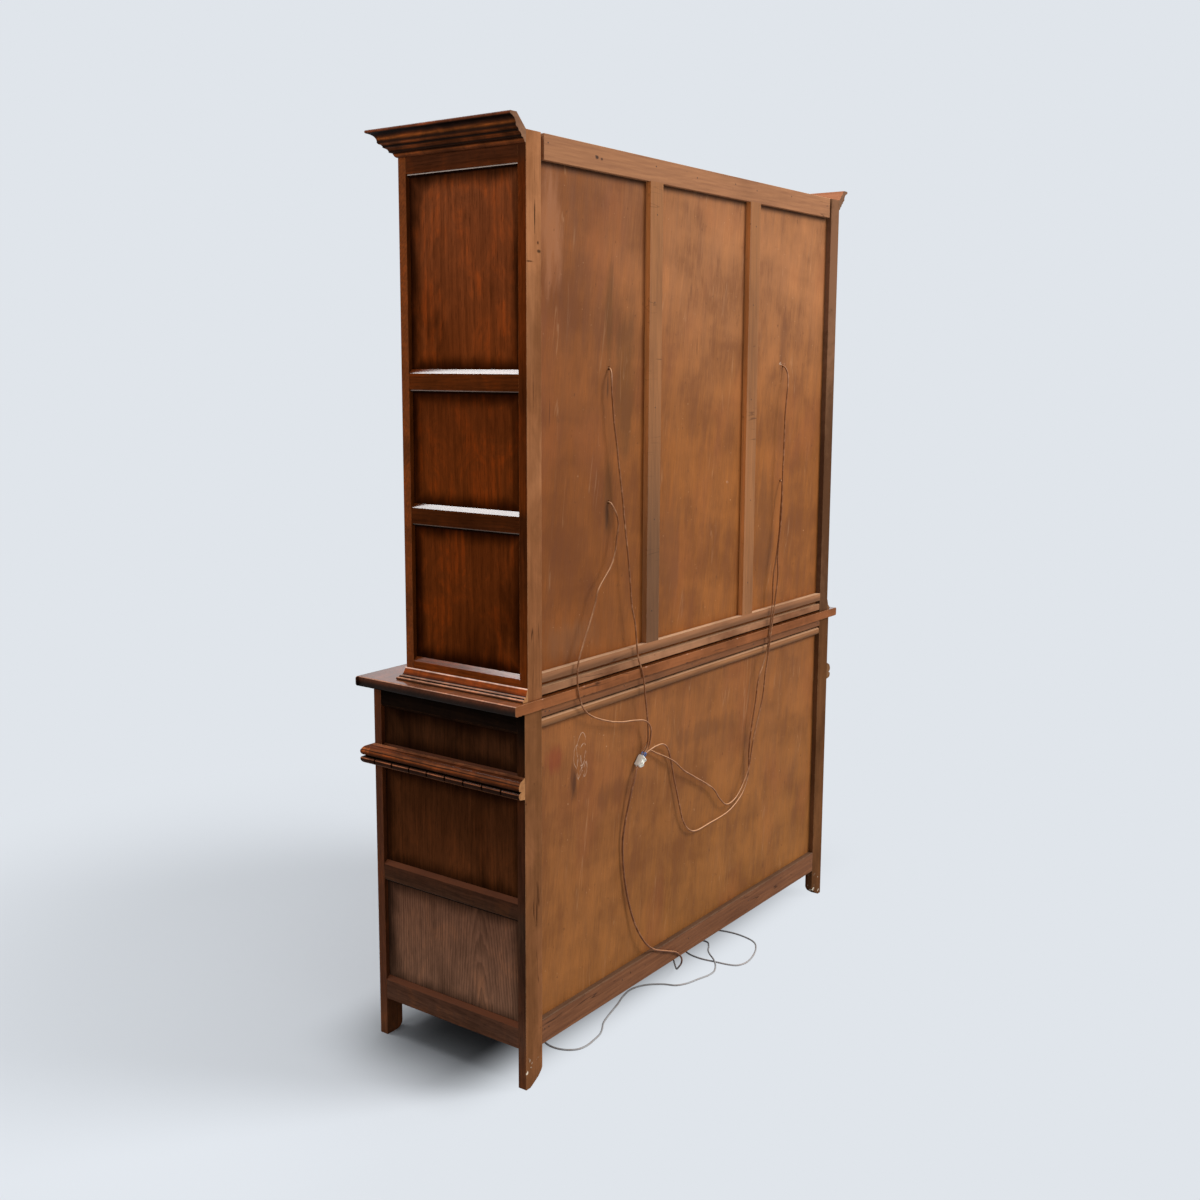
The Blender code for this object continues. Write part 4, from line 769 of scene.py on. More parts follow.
def bare_wood(t, place, axis, tones, grain, patches, worn, marks):
    """Unstained wood on the back of a stained piece: knocks, cracks, pale edges and chipped feet."""
    clouds, rise = grain["Clouds"], t.split(worn["Normal"])[2]
    colour = t.blend(t.spread(clouds, 0.35, 0.65), *tones)
    colour = t.scaled(colour, t.mad(grain["Streaks"], 0.24, 0.88), t.spread(patches, 0.32, 0.68, 0.86, 1.1))
    knocks = t.noise(place, 38.0, 5.0, 0.7)
    upright = put_along(t, place, "z" if axis == "y" else axis)
    chips = t.times(t.spread(t.noise(place, 70.0), 0.63, 0.67), t.spread(t.split(place)[2], 0.075, 0.03))
    # The fourth coat, where the wood faces up, is a painted highlight; the edges' pale before it is wear
    colour = t.layers(colour, (t.spread(knocks, 0.66, 0.72, 0.0, 0.75), (62, 38, 24)),
                      (t.use(CRACKS, Vector=upright, Amount=0.75)[0], (58, 34, 22)),
                      (t.times(worn["Edge"], 0.5), (206, 160, 118)),
                      (t.spread(rise, 0.12, 0.5, 0.0, 0.6), (216, 172, 132)), (chips, (228, 212, 188)))
    return marked(t, place, colour, knocks, marks)


def tarnished(t, place, worn):
    """Old brass, rubbed bright at its edges."""
    tarnish = t.noise(place, 60.0, 4.0, 0.65)
    colour = t.blend(t.spread(tarnish, 0.35, 0.65), (92, 66, 32), (168, 132, 74))
    return t.blend(t.times(worn["Edge"], 0.8), colour, (206, 178, 116))


def stained(name, axis, seed, tint, contrast=0.3, gloss=0.42, edge=(150, 92, 54), raw=None, brass=None,
            wear=0.5, figure=0.25, sheen=0.6, satin=0.06, borders=(), border_depth=0.75, smudge=0.35,
            hollow=0.08, soft=0.001, lines=(), ledge_light=None, low_figure=None, mottle=0.1, flat=(0.12, 0.5),
            coat_ior=1.5, marks=(), amber=0.25, **run):
    """Dark stained oak: a tint, by height where it is a list, with grain in its light and dark.

    The grain is set by axis, seed and run, which grained takes. contrast is how far its light and
    dark part, figure the share of rings in it, and low_figure a height and that share below it.
    The stain lies deeper in the pores, in the clouds by smudge, in the hollows by hollow and
    along the borders by border_depth, where painted shade lies with it. It is mottled by mottle,
    turns orange by amber, and is rubbed off the crests and the edges, as wide as soft, to the tone
    edge by wear. ledge_light is a painted highlight: the lighter tone of bevels that face up. lines
    are boxes where a bead carries a painted highlight line over a painted shade line below it.
    gloss is the roughness, satin the gloss at all angles, and sheen the coat of polish, of
    coat_ior, where the normal's z passes the range flat. raw is the plane behind which the wood
    is unstained, its two tones and, on a frame, how far out its unstained inner sides may lie;
    marks are stains on it. brass is the plane in front of which a hinge stands.
    """
    finish, t, shader, place = new_finish("stained oak, " + name)
    x, y, z = t.split(place)
    grain, _ = grained(t, place, axis, seed, **run)
    clouds, streaks = grain["Clouds"], grain["Streaks"]
    worn = t.use(EDGES, Vector=place, Width=soft)
    rise = t.split(worn["Normal"])[2]
    share = figure
    if low_figure is not None:
        share = t.spread(z, low_figure[0] + 0.01, low_figure[0], figure, low_figure[1])
    tone = t.add("Mix", {0: share, 2: streaks, 3: grain["Figure"]}).outputs[0]
    patches = t.noise(place, (17.0, 17.0, 10.0), 5.0, 0.65, 0.8, (seed, 0.0, 0.0))
    relief = t.add("Attribute", attribute_name="relief").outputs["Fac"]
    # Old stain and painted shade along each panel's border
    border_stain_and_shade = [t.mad(t.use(BORDER_STAIN_AND_SHADE, Vector=place, Middle=middle, Half=half)[0], -border_depth, 1.0)
               for middle, half in borders]
    light = t.times(t.mad(tone, 2 * contrast, 1 - contrast), t.spread(clouds, 0.46, 0.7, 1.0, 1 - smudge),
                    t.mad(grain["Pores"], -0.3, 1.0), t.spread(patches, 0.32, 0.68, 1 - mottle, 1 + mottle),
                    *border_stain_and_shade, t.spread(relief, -0.02, -0.5, 1.0, hollow))
    warm = t.times(t.spread(patches, 0.46, 0.68, 0.0, amber), t.spread(tone, 0.2, 0.8, 0.4, 1.4))
    base = tint_by_height(t, z, tint) if isinstance(tint, list) else tint
    colour = t.scaled(t.blend(warm, base, AMBER, "MULTIPLY"), light)
    crest = t.most(t.times(worn["Edge"], wear), t.spread(relief, 0.15, 0.8, 0.0, 0.7 * wear))
    colour = t.blend(crest, colour, edge)
    if ledge_light is not None:
        # Painted highlight: bevels that face up are made lighter, as if lit from above
        up = t.times(t.spread(rise, 0.2, 0.6), t.spread(clouds, 0.7, 0.35, 0.45, 0.95))
        colour = t.blend(up, colour, ledge_light)
    # Painted light on each bead: a painted highlight line, and a painted shade line below it
    for middle, half, weight in lines:
        under = (middle[0], middle[1], middle[2] - BEAD_SHADE_DROP)
        groove_shade = in_boxes(t, place, (under, (half[0], half[1], BEAD_SHADE_HALF)))
        painted_highlight = t.times(in_boxes(t, place, (middle, half)), t.spread(clouds, 0.7, 0.3, 0.4 * weight, weight))
        colour = t.layers(colour, (t.times(groove_shade, 0.92), (6, 4, 3)), (painted_highlight, (226, 208, 194)))
    rough = t.mad(streaks, 0.12, gloss)
    if raw is not None:
        plane, *tones = raw[:3]
        bare = t.math("GREATER_THAN", y, plane)
        if len(raw) > 3:
            inner = t.math("LESS_THAN", t.math("ABSOLUTE", x), raw[3])
            bare = t.most(bare, t.times(inner, t.math("GREATER_THAN", y, SHEET_OUT)))
        colour = t.blend(bare, colour, bare_wood(t, place, axis, tones, grain, patches, worn, marks))
        rough = t.most(rough, t.times(bare, 0.7))
    if brass is not None:
        metal = t.math("LESS_THAN", y, brass)
        colour = t.blend(metal, colour, tarnished(t, place, worn))
        t.connect(shader, {"Metallic": metal})
    height = t.mad(grain["Pores"], -0.6, t.times(tone, 0.5))
    t.connect(shader, {
        "Base Color": colour, "Roughness": rough,
        "Normal": t.bump(height, 0.16, 0.0004, Normal=worn["Normal"]),
        "Coat Weight": t.spread(t.facing()[2], *flat, 0.0, sheen) if sheen else 0.0,
        "Coat Roughness": 0.15,
        "Coat IOR": coat_ior, "Specular IOR Level": satin, "Specular Tint": shade(255, 228, 208)})
    return finish


def raw_wood(name, axis, seed, tones, grime=0.35, spots=0.0, muntins=None, arris=0.0, shade_falls=None, cracks=0.0,
             far=1.0, marks=(), **run):
    """Unpolished wood: streaks between two tones, grimy clouds, paler edges, partly worn and partly
    a painted highlight, and a few dark knocks.

    The grain is set by axis, seed and run, which grained takes. grime, spots and cracks are how
    far the clouds, the knocks and the cracks show. muntins are an upper and a lower tone that the
    upright strips take, with a painted highlight on their sides that face along X. arris is how
    strong the painted highlight is on the edges that face up, and shade_falls is painted shade that
    darkens a strip from its top to its foot: two heights and how light the foot is. far is how
    light the -X end is, and marks are stains.
    """
    finish, t, shader, place = new_finish(name)
    x, _, z = t.split(place)
    grain, mask = grained(t, place, axis, seed, spacing=0.011, **run)
    clouds, streaks = grain["Clouds"], grain["Streaks"]
    worn = t.use(EDGES, Vector=place, Width=0.0012)
    tone = t.mad(grain["Figure"], 0.15, t.times(streaks, 0.85))
    colour = t.blend(tone, *tones)
    if muntins is not None:
        kept = t.most(t.spread(z, 1.0, 1.45), t.math("LESS_THAN", x, 0.0))
        upright = t.scaled(t.blend(kept, muntins[1], muntins[0]), t.mad(tone, 0.36, 0.82))
        side = t.math("GREATER_THAN", t.math("ABSOLUTE", t.facing()[0]), 0.7)
        # Painted light: the strips' sides that face along X are made lighter
        colour = t.blend(mask, colour, t.blend(side, upright, LIT_SIDE, "MULTIPLY"))
    colour = t.blend(t.spread(clouds, 0.42, 0.7, 0.0, grime), colour, (84, 50, 30))
    if shade_falls is not None:
        # Painted shade: darker towards the strip's foot
        colour = t.scaled(colour, t.spread(z, shade_falls[0], shade_falls[1], 1.0, shade_falls[2]))
    if far != 1.0:
        colour = t.scaled(colour, t.spread(x, 0.2, -0.5, 1.0, far))
    split = t.use(CRACKS, Vector=put_along(t, place, axis), Amount=cracks)[0]
    # Painted highlight on edges and faces that face up, with the pale of wear on all edges
    up = t.spread(t.split(worn["Normal"])[2], 0.08, 0.45, 0.0, arris)
    rubbed = t.most(t.times(up, t.spread(clouds, 0.72, 0.4, 0.35, 1.0)), t.times(worn["Edge"], 0.3))
    knocks = t.noise(place, 34.0, 5.0, 0.7)
    colour = t.layers(colour, (split, (48, 28, 18)), (rubbed, (226, 184, 146)),
                      (t.spread(knocks, 0.68, 0.73, 0.0, spots), (44, 26, 18)))
    height = t.mad(grain["Pores"], -0.5, streaks)
    t.connect(shader, {
        "Base Color": marked(t, place, colour, knocks, marks), "Specular IOR Level": 0.12,
        "Roughness": t.spread(streaks, 0.0, 1.0, 0.7, 0.82),
        "Normal": t.bump(height, 0.25, 0.0005, Normal=worn["Normal"])})
    return finish


def back_sheet(name, seed, upper, lower, near, under, marks, scrapes):
    """Stained plywood: tones that change with height and towards +X, mottled, with fine upright fibres.

    upper and lower are a height and its tone, and near is a tone towards +X with its weight. marks
    are dark stains, and on the hutch painted shadows of the flexes: middle (x, z), half sizes, tone
    and weight. scrapes are pale scraped loops: middle, half sizes, width and weight. under is the
    height of the strip's foot, and painted shade darkens the sheet just below it.
    """
    finish, t, shader, place = new_finish(name)
    x, _, z = t.split(place)
    moved = t.add("Mapping", {"Vector": place, "Location": (seed, 0.0, 0.4 * seed),
                              "Rotation": (0.0, 0.12, 0.0)}).outputs[0]
    fibres = t.noise(moved, (330.0, 330.0, 15.0), 4.0, 0.62)
    smears = t.noise(moved, (34.0, 34.0, 7.0), 5.0, 0.62, 0.2)
    mottle = t.noise(moved, (10.0, 10.0, 8.0), 5.0, 0.6, 0.3)
    bands = t.noise(moved, (2.6, 2.6, 9.0), 3.0)
    colour = t.blend(t.spread(z, lower[0], upper[0]), lower[1], upper[1])
    colour = t.blend(t.spread(x, 0.0, 0.55, 0.0, near[1]), colour, near[0])
    light = t.times(t.spread(mottle, 0.3, 0.7, 0.87, 1.12), t.spread(bands, 0.32, 0.68, 0.88, 1.1),
                    t.spread(smears, 0.3, 0.7, 0.9, 1.1), t.spread(fibres, 0.28, 0.72, 0.9, 1.09))
    red = t.noise(moved, (6.0, 6.0, 4.0), 3.0, move=(5.0, 0.0, 2.0))
    colour = t.layers(t.scaled(colour, light), (t.spread(light, 1.0, 0.74, 0.0, 0.32), (116, 62, 28)),
                      (t.spread(red, 0.5, 0.72, 0.0, 0.3), (150, 84, 46)))
    colour = marked(t, place, colour, smears, marks)
    # Painted shade just below the strip's foot
    colour = t.scaled(colour, t.spread(z, under, under - 0.02, 0.22, 1.0))
    for (mark_x, mark_z), (half_x, half_z), width, weight in scrapes:
        line = t.use(SCRAPE, Vector=place, Middle=(mark_x, SHEET_OUT, mark_z),
                     Stretch=(1 / half_x, 0.0, 1 / half_z), Width=width)[0]
        colour = t.blend(t.times(line, weight), colour, (214, 190, 166))
    specks = t.spread(t.noise(place, 150.0), 0.75, 0.79, 0.0, 0.5)
    stains = t.noise(moved, (90.0, 90.0, 60.0), 3.0, 0.6, move=(7.0, 0.0, 3.0))
    colour = t.layers(colour, (t.most(t.use(CRACKS, Vector=moved, Amount=0.13)[0], specks), (208, 164, 122)),
                      (t.spread(stains, 0.66, 0.76, 0.0, 0.55), (84, 48, 26)))
    t.connect(shader, {
        "Base Color": colour, "Roughness": t.spread(smears, 0.3, 0.7, 0.6, 0.75),
        "Specular IOR Level": 0.12, "Normal": t.bump(t.mad(fibres, 0.5, smears), 0.2, 0.0005)})
    return finish


def plain(name, light, dark, rough, metallic=0.0, grit=180.0, bumps=0.1):
    """A moulded or cast finish: two near tones in fine clouds, with a slight bump."""
    finish, t, shader, place = new_finish(name)
    clouds, fine = t.noise(place, 30.0, 4.0, 0.6), t.noise(place, grit, 3.0, 0.6)
    t.connect(shader, {
        "Base Color": t.blend(t.spread(clouds, 0.3, 0.7), light, dark), "Metallic": metallic,
        "Roughness": t.spread(fine, 0.3, 0.7, rough, rough + 0.12), "Normal": t.bump(fine, bumps, 0.0003)})
    return finish


def sheath(name, brown, lit, dusty):
    """A flex's sheath: brown, with a painted highlight where it faces up, and greyed by dust where it lies on
    the floor.
    """
    finish, t, shader, place = new_finish(name)
    scuffs = t.noise(place, 55.0, 4.0, 0.65)
    dust = t.times(t.spread(t.split(place)[2], 0.06, 0.012), t.spread(scuffs, 0.2, 0.6, 0.7, 1.0))
    # Painted highlight: the lit tone where the sheath faces up; scuffs lay the same tone in patches
    colour = t.layers(brown, (t.spread(t.facing()[2], 0.1, 0.75), lit),
                      (t.spread(scuffs, 0.45, 0.75, 0.0, 0.4), lit), (dust, dusty))
    t.connect(shader, {"Base Color": colour, "Roughness": t.spread(scuffs, 0.3, 0.7, 0.3, 0.46),
                       "Specular IOR Level": 0.22})
    return finish


def clear_glass(name):
    """Old window glass: clear, a little green, with a slow ripple and a film of dust."""
    finish, t, shader, place = new_finish(name)
    film = t.noise(place, 26.0, 5.0, 0.6)
    t.connect(shader, {
        "Base Color": t.blend(film, (244, 250, 247), (236, 244, 240)), "Transmission Weight": 1.0,
        "Roughness": t.spread(film, 0.3, 0.8, 0.0, 0.04), "IOR": 1.45,
        "Normal": t.bump(t.noise(place, 9.0), 0.12, 0.002)})
    return finish


def frosted_glass(name):
    """The lamps' frosted glass."""
    finish, t, shader, place = new_finish(name)
    frost = t.noise(place, 400.0)
    t.connect(shader, {
        "Base Color": t.blend(frost, (250, 248, 240), (240, 236, 224)),
        "Roughness": t.spread(frost, 0.3, 0.7, 0.4, 0.55), "Transmission Weight": 0.35})
    return finish


# Half the size of a box that reaches past the whole piece
FAR = 9.0


def across(x, half_x):
    """A box that runs the full depth and height, for grain that stands in a post or a stile."""
    return (x, 0.0, 1.0), (half_x, FAR, FAR)


def front_run(front):
    """The part of a three-sided moulding where the grain runs across, since that part faces the front."""
    return (0.0, front - 1.0, 1.0), (FAR, 1.0, FAR)


def moulded(name, seed, tints, front, **look):
    """The oak of a three-sided moulding."""
    return stained(name, "y", seed, tints, crossed=[front_run(front)], cross_axis="x", soft=0.0004, **look)


def tints(level, *stops):
    """A tint's stops, each a height in millimetres over a level and a colour."""
    return [(level + up * MM, tuple(tone)) for up, *tone in stops]


# Tones by height that also paint light: pale bands are painted highlights, near-black ones painted shade
WAIST_TONES_AND_LIGHT = tints(
    CUPBOARD_TOP, (5, 30, 15, 9), (7.6, 116, 78, 56), (9.2, 34, 17, 9), (16.8, 32, 15, 8),
    (18.1, 156, 98, 68), (19.2, 46, 21, 11), (20.5, 30, 14, 7), (21.4, 6, 3, 2), (24.6, 6, 3, 2),
    (26.2, 46, 22, 9), (30.5, 72, 33, 13), (34.2, 122, 62, 28), (36.6, 30, 14, 7), (38.4, 136, 76, 42),
    (42.5, 78, 37, 16), (46.2, 98, 50, 25), (49.5, 128, 80, 54))
PLINTH_TONES_AND_LIGHT = tints(
    HUTCH_LOW, (0, 26, 12, 7), (3, 60, 30, 17), (4.6, 120, 68, 42), (5.4, 214, 156, 122), (6.1, 120, 66, 40),
    (6.6, 8, 4, 3), (8.4, 8, 4, 3), (8.8, 120, 76, 54), (10.1, 194, 148, 124), (10.8, 30, 14, 8),
    (13, 88, 38, 14), (17.5, 132, 60, 20), (23.6, 118, 54, 20), (24.8, 228, 184, 164),
    (26.2, 236, 200, 184))
CORNICE_TONES_AND_LIGHT = tints(
    HUTCH_TOP, (-24.3, 84, 42, 22), (-18.5, 110, 56, 24), (-16, 56, 27, 13), (-14.8, 12, 7, 5),
    (-12.5, 20, 11, 7), (-9.2, 118, 60, 27), (-6.6, 80, 40, 18), (-5.6, 12, 7, 5), (-3, 20, 11, 8),
    (-0.6, 120, 63, 29), (1.2, 76, 38, 18), (2.9, 10, 6, 5), (6, 46, 24, 12), (9.5, 140, 75, 32),
    (12.5, 94, 48, 22), (16, 40, 20, 11), (19.6, 10, 6, 5), (20.6, 28, 14, 9), (22.2, 104, 53, 31),
    (26.2, 90, 47, 29))
TABLE_TONES_AND_LIGHT = tints(
    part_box("tabletop")[0][2], (0, 14, 8, 5), (8, 28, 15, 9), (11.5, 50, 26, 15), (15.8, 74, 39, 23),
    (18.8, 66, 36, 23), (19.7, 190, 140, 116), (20.5, 190, 140, 116), (20.8, 124, 68, 32))
TABLE_STAIN_END = BACK_Y + 0.0049

OAK = {
    "waist": moulded("waist moulding", 3, WAIST_TONES_AND_LIGHT, BASE_FRONT, edge=(150, 86, 50), wear=0.08, sheen=0.1,
                     mottle=0.3, contrast=0.5, satin=0.02),
    "plinth": moulded("plinth moulding", 5, PLINTH_TONES_AND_LIGHT, HUTCH_FRONT, edge=(196, 150, 116), wear=0.05,
                      sheen=0.1, mottle=0.3, gloss=0.36, hollow=0.8, contrast=0.4, satin=0.04),
    "cornice": moulded("cornice", 7, CORNICE_TONES_AND_LIGHT, HUTCH_FRONT, edge=(110, 60, 30), wear=0.1, sheen=0.06,
                       mottle=0.35, hollow=0.45, contrast=0.4, satin=0.03),
    "tabletop": stained("tabletop", "x", 11, TABLE_TONES_AND_LIGHT, gloss=0.3, satin=0.08, sheen=1.0, wear=0.25,
                        flat=(0.9, 0.99), coat_ior=2.0, raw=(TABLE_STAIN_END, (143, 86, 50), (119, 69, 38)),
                        edge=(150, 84, 50), contrast=0.25, soft=0.0006),
    "knob": stained("knobs", "y", 13, (96, 44, 18), wear=0.3, satin=0.2, soft=0.0004),
}
END_GRAIN = raw_wood("sawn end grain", "y", 17, ((156, 104, 62), (190, 134, 84)), grime=0.3, spots=0.4,
                     far=0.42)
DULL_END = raw_wood("dull end grain", "y", 18, ((118, 82, 58), (150, 108, 78)), grime=0.5, spots=0.6,
                    far=0.72)
RAW_SLOPE = raw_wood("raw slope behind the cornice", "y", 19, ((168, 106, 72), (196, 128, 92)), grime=0.2,
                     crossed=[front_run(HUTCH_FRONT)], cross_axis="x")
SHEATH = sheath("brown sheath", (120, 69, 33), (230, 174, 128), (206, 204, 202))
LEAD_SHEATH = sheath("lead's sheath", (104, 58, 28), (200, 140, 98), (176, 175, 175))
CREAM = plain("white terminal plastic", (250, 248, 238), (238, 234, 220), 0.4)
SCREW_STEEL = plain("dull screw steel", (132, 132, 128), (96, 96, 94), 0.38, metallic=0.9)
CORE_BLUE = plain("blue core", (64, 130, 196), (44, 104, 176), 0.42)
CORE_BROWN = plain("brown core", (88, 50, 34), (66, 36, 24), 0.42)
PLUG_BROWN = plain("moulded brown plug", (74, 42, 26), (58, 32, 20), 0.3)
LEADING = plain("dull lead", (104, 106, 110), (70, 72, 76), 0.42, metallic=0.85, grit=90.0, bumps=0.3)
LAMP_WHITE = plain("off-white lamp base", (226, 222, 208), (206, 200, 184), 0.42)
NAIL = plain("rusty nail heads", (52, 38, 30), (30, 22, 18), 0.6, metallic=0.5)
GLASS = clear_glass("old pane glass")
FROST = frosted_glass("frosted lamp glass")


# Wiring on the back

# Each flex is thinned over its last stretch, where its two cores come out beside it
THIN_LENGTH = 0.0085
THIN_R = 0.00095
CORE_R = 0.00105
CORE_POINTS = 20


def make_cords():
    """The four flexes and the lead as tubes on their routes."""
    for tag in ROUTES:
        path = flex_path(tag)
        left = length_of(path) - run_length(path)
        points, faces = tube(path, np.where(left < THIN_LENGTH, THIN_R, FLEX_D / 2), 12)
        flex = add_piece("sheath_" + tag, points, faces, [SHEATH], "brown_flex", crease=60)
        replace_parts(flex, "flex_" + tag)
    path = lead_path()
    points, faces = tube(path, LEAD_D / 2, 14)
    lead = add_piece("lead_sheath", points, faces, [LEAD_SHEATH], "brown_flex", crease=60)
    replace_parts(lead, "mains_lead")
    return lead, path


def rounded_box(half, bevel, place, turn, steps=4):
    """A block with rounded edges: a box's corners moved in by the bevel, then out along a sphere's normals.

    Point (a, b) of a sphere's grid goes to sign(n) (half - bevel) + bevel n, with n its normal.
    """
    quarter = np.linspace(0, math.pi / 2, steps + 1)
    around = np.concatenate([quarter + k * math.pi / 2 for k in range(4)])
    rise = np.concatenate([quarter - math.pi / 2, quarter])[:, None]
    shape = (len(rise), len(around))
    normal = np.stack([np.cos(rise) * np.cos(around), np.cos(rise) * np.sin(around),
                       np.broadcast_to(np.sin(rise), shape)], axis=-1)
    signs = np.stack([np.broadcast_to(np.repeat([1, -1, -1, 1], steps + 1), shape),
                      np.broadcast_to(np.repeat([1, 1, -1, -1], steps + 1), shape),
                      np.broadcast_to(np.repeat([-1, 1], steps + 1)[:, None], shape)], axis=-1)
    points = signs * (np.asarray(half) - bevel) + bevel * normal
    return placed(points, place, turn), capped(*shape)


# The block's body and humps, how far its two ways lie from its middle, where its screw towers stand
# along it, and its screws. The sections are in millimetres.
TERMINAL_HALF = (0.0066, 0.0064, TERMINAL_L / 2 - 0.0006)
HUMP_HALF = (0.0027, 0.0021, TERMINAL_L / 2 - 0.0021)
WAY = 0.0034
TOWER_ALONG = 0.0062
TOWER = np.array([(0, 1.2), (2.0, 1.2), (2.0, 2.6), (2.7, 2.6), (2.9, 2.2), (2.9, 0), (0, 0)])
SCREW_HEAD = section_of([(0, 0.5), (1.2, 0.42), (1.8, 0)], [(1.8, 0), (0, 0)])
SCREW_SLOT_HALF = (0.0016, 0.0003, 0.0003)


def make_terminal():
    """A two-way terminal block: a cream body with two humps, four screw towers and metal screws.

    From each flex a blue and a brown core bow out, each the flex's own path plus half a sine wave.
    """
    turn = np.array([ACROSS[:], (0, 1, 0), WIRES[:]]).T
    outward = np.array([ACROSS[:], WIRES[:], (0, 1, 0)]).T
    parts = [rounded_box(TERMINAL_HALF, 0.0009, terminal_point(0, 0, -0.0016), turn)]
    for side in (-1, 1):
        parts.append(rounded_box(HUMP_HALF, 0.0012, terminal_point(0, side * WAY, 0.0052), turn))
    screws = []
    for side in (-1, 1):
        for end in (-1, 1):
            foot = terminal_point(end * TOWER_ALONG, side * WAY, 0.0062)
            head = foot + Vector((0, 0.0012, 0))
            parts.append(spun(TOWER, 24, foot, outward))
            screws.append(spun(SCREW_HEAD, 20, head, outward))
            screws.append(rounded_box(SCREW_SLOT_HALF, 0.00015, head + Vector((0, 0.0005, 0)), turn, 1))
    block = add_piece("terminal_body", *gathered(parts), [CREAM], "terminal_plastic", crease=30)
    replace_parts(block, "terminal_block")
    heads = add_piece("terminal_screws", *gathered(screws), [SCREW_STEEL], "terminal_plastic", crease=30)
    swell = np.sin(np.linspace(0, math.pi, CORE_POINTS))[:, None]
    cores = {"blue": [], "brown": []}
    for tag, (_, deep) in ENDS.items():
        for name, aside in (("blue", 0.0018), ("brown", -0.0016)):
            bow = np.array([ACROSS[:]]) * aside + np.array([[0, 0.0016 * deep + 0.0006, 0]])
            cores[name].append(tube(flex_path(tag)[-CORE_POINTS:] + swell * bow, CORE_R, 8))
    blue = add_piece("blue_cores", *gathered(cores["blue"]), [CORE_BLUE], "terminal_plastic", crease=60)
    brown = add_piece("brown_cores", *gathered(cores["brown"]), [CORE_BROWN], "terminal_plastic", crease=60)
    return [block, heads, blue, brown]


# The rings on the plug's strain relief, their distance and depth in millimetres, and its two pins:
# half the distance between them, and their radii at four places along the plug
PLUG_SIDES = 48
RELIEF_RING = 3.1
RELIEF_DEEP = 0.35
PIN_HALF_GAP = 0.0095
PIN_REACH = (0.0585, 0.0725, 0.0765, 0.0778)
PIN_RADII = (0.002, 0.002, 0.0018, 0.0009)


def make_plug():
    """A flat two-pin plug: one lofted body, ribbed where the lead enters, and two pins.

    At distance s the section is a superellipse |y / w|^n + |z / h|^n = 1 whose half width w, half
    height h and power n change along s, with rings on the strain relief.
    """
    s = np.concatenate([np.linspace(0, 22, 34), np.linspace(22.6, 59, 22)])
    w = np.interp(s, [0, 21, 24.5, 29, 36, 52, 57.5, 59], [3.0, 4.7, 7.5, 13, 16.8, 17.4, 17.1, 15.6])
    h = np.interp(s, [0, 21, 24.5, 29, 36, 57.5, 59], [3.0, 4.7, 5.6, 6.5, 7.0, 7.0, 5.8])
    n = np.interp(s, [0, 22, 30], [2.0, 2.2, 4.5])
    ribs = np.clip(2.4 * np.sin(s * 2 * math.pi / RELIEF_RING), -1, 1)
    rings = np.where((s > 2) & (s < 21), RELIEF_DEEP * ribs, 0)
    a = np.linspace(0, 2 * math.pi, PLUG_SIDES, endpoint=False)
    ca, sa = np.cos(a)[None, :], np.sin(a)[None, :]
    power = 2 / n[:, None]
    y = (w + rings)[:, None] * np.sign(ca) * np.abs(ca) ** power
    z = (h + rings)[:, None] * np.sign(sa) * np.abs(sa) ** power
    points = np.stack([np.broadcast_to(s[:, None], y.shape), y, z], axis=-1) * MM
    c, d = math.cos(PLUG_TURN), math.sin(PLUG_TURN)
    turn = np.array([[c, -d, 0], [d, c, 0], [0, 0, 1]])
    body = add_piece("plug_body", placed(points, PLUG_TIP, turn), capped(len(s), PLUG_SIDES), [PLUG_BROWN],
                     "plug_plastic", crease=50)
    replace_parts(body, "mains_plug")
    pins = []
    for side in (-1, 1):
        path = [(reach, side * PIN_HALF_GAP, 0) for reach in PIN_REACH]
        pins.append(tube(placed(path, PLUG_TIP, turn), PIN_RADII, 14))
    pins = add_piece("plug_pins", *gathered(pins), [SCREW_STEEL], "plug_plastic")
    return [body, pins]


lead, lead_line = make_cords()
terminal = make_terminal()
plug = make_plug()

# Mouldings and tabletop

# How much further the waist moulding reaches out at the front, how far apart its notches are, and
# the share of its reach that they cut away
WAIST_FRONT_SCALE = 1.316
NOTCH_PITCH = 0.0497
NOTCH_CUT = 0.24
# The mouldings' sections in millimetres: how far out from the carcass, and how far up
WAIST = section_of([(0, 49.5), (3, 48.5), (8, 45.4)], [(8, 45.4), (9.6, 45.2)],
                   [(9.6, 45.2), (13.4, 43.0), (16.4, 39.4), (17.4, 37.2)], [(17.4, 37.2), (18, 36.4)],
                   [(18, 36.4), (19, 33.6), (18.9, 30), (17.6, 26.6), (15.6, 24.6)],
                   [(15.6, 24.6), (12.2, 23.9)], [(12.2, 23.9), (12.2, 22.2)], [(12.2, 22.2), (15.6, 21.2)],
                   [(15.6, 21.2), (18.2, 19.2), (19, 16.2), (18.6, 12.6)], [(18.6, 12.6), (17.2, 9.6)],
                   [(17.2, 9.6), (15, 7.5)], [(15, 7.5), (0, 5)])
PLINTH = section_of([(0, 26.2), (1.5, 26.2)], [(1.5, 26.2), (2.2, 22.6), (4.2, 16), (6, 10.9)],
                    [(6, 10.9), (7.4, 9.9), (9.2, 9), (10.5, 8.8)], [(10.5, 8.8), (10.9, 6.4)],
                    [(10.9, 6.4), (11.9, 5.6), (13.6, 5.6), (15.2, 4.4), (15.6, 2.6), (15.2, 0.4)],
                    [(15.2, 0.4), (0, 0)])
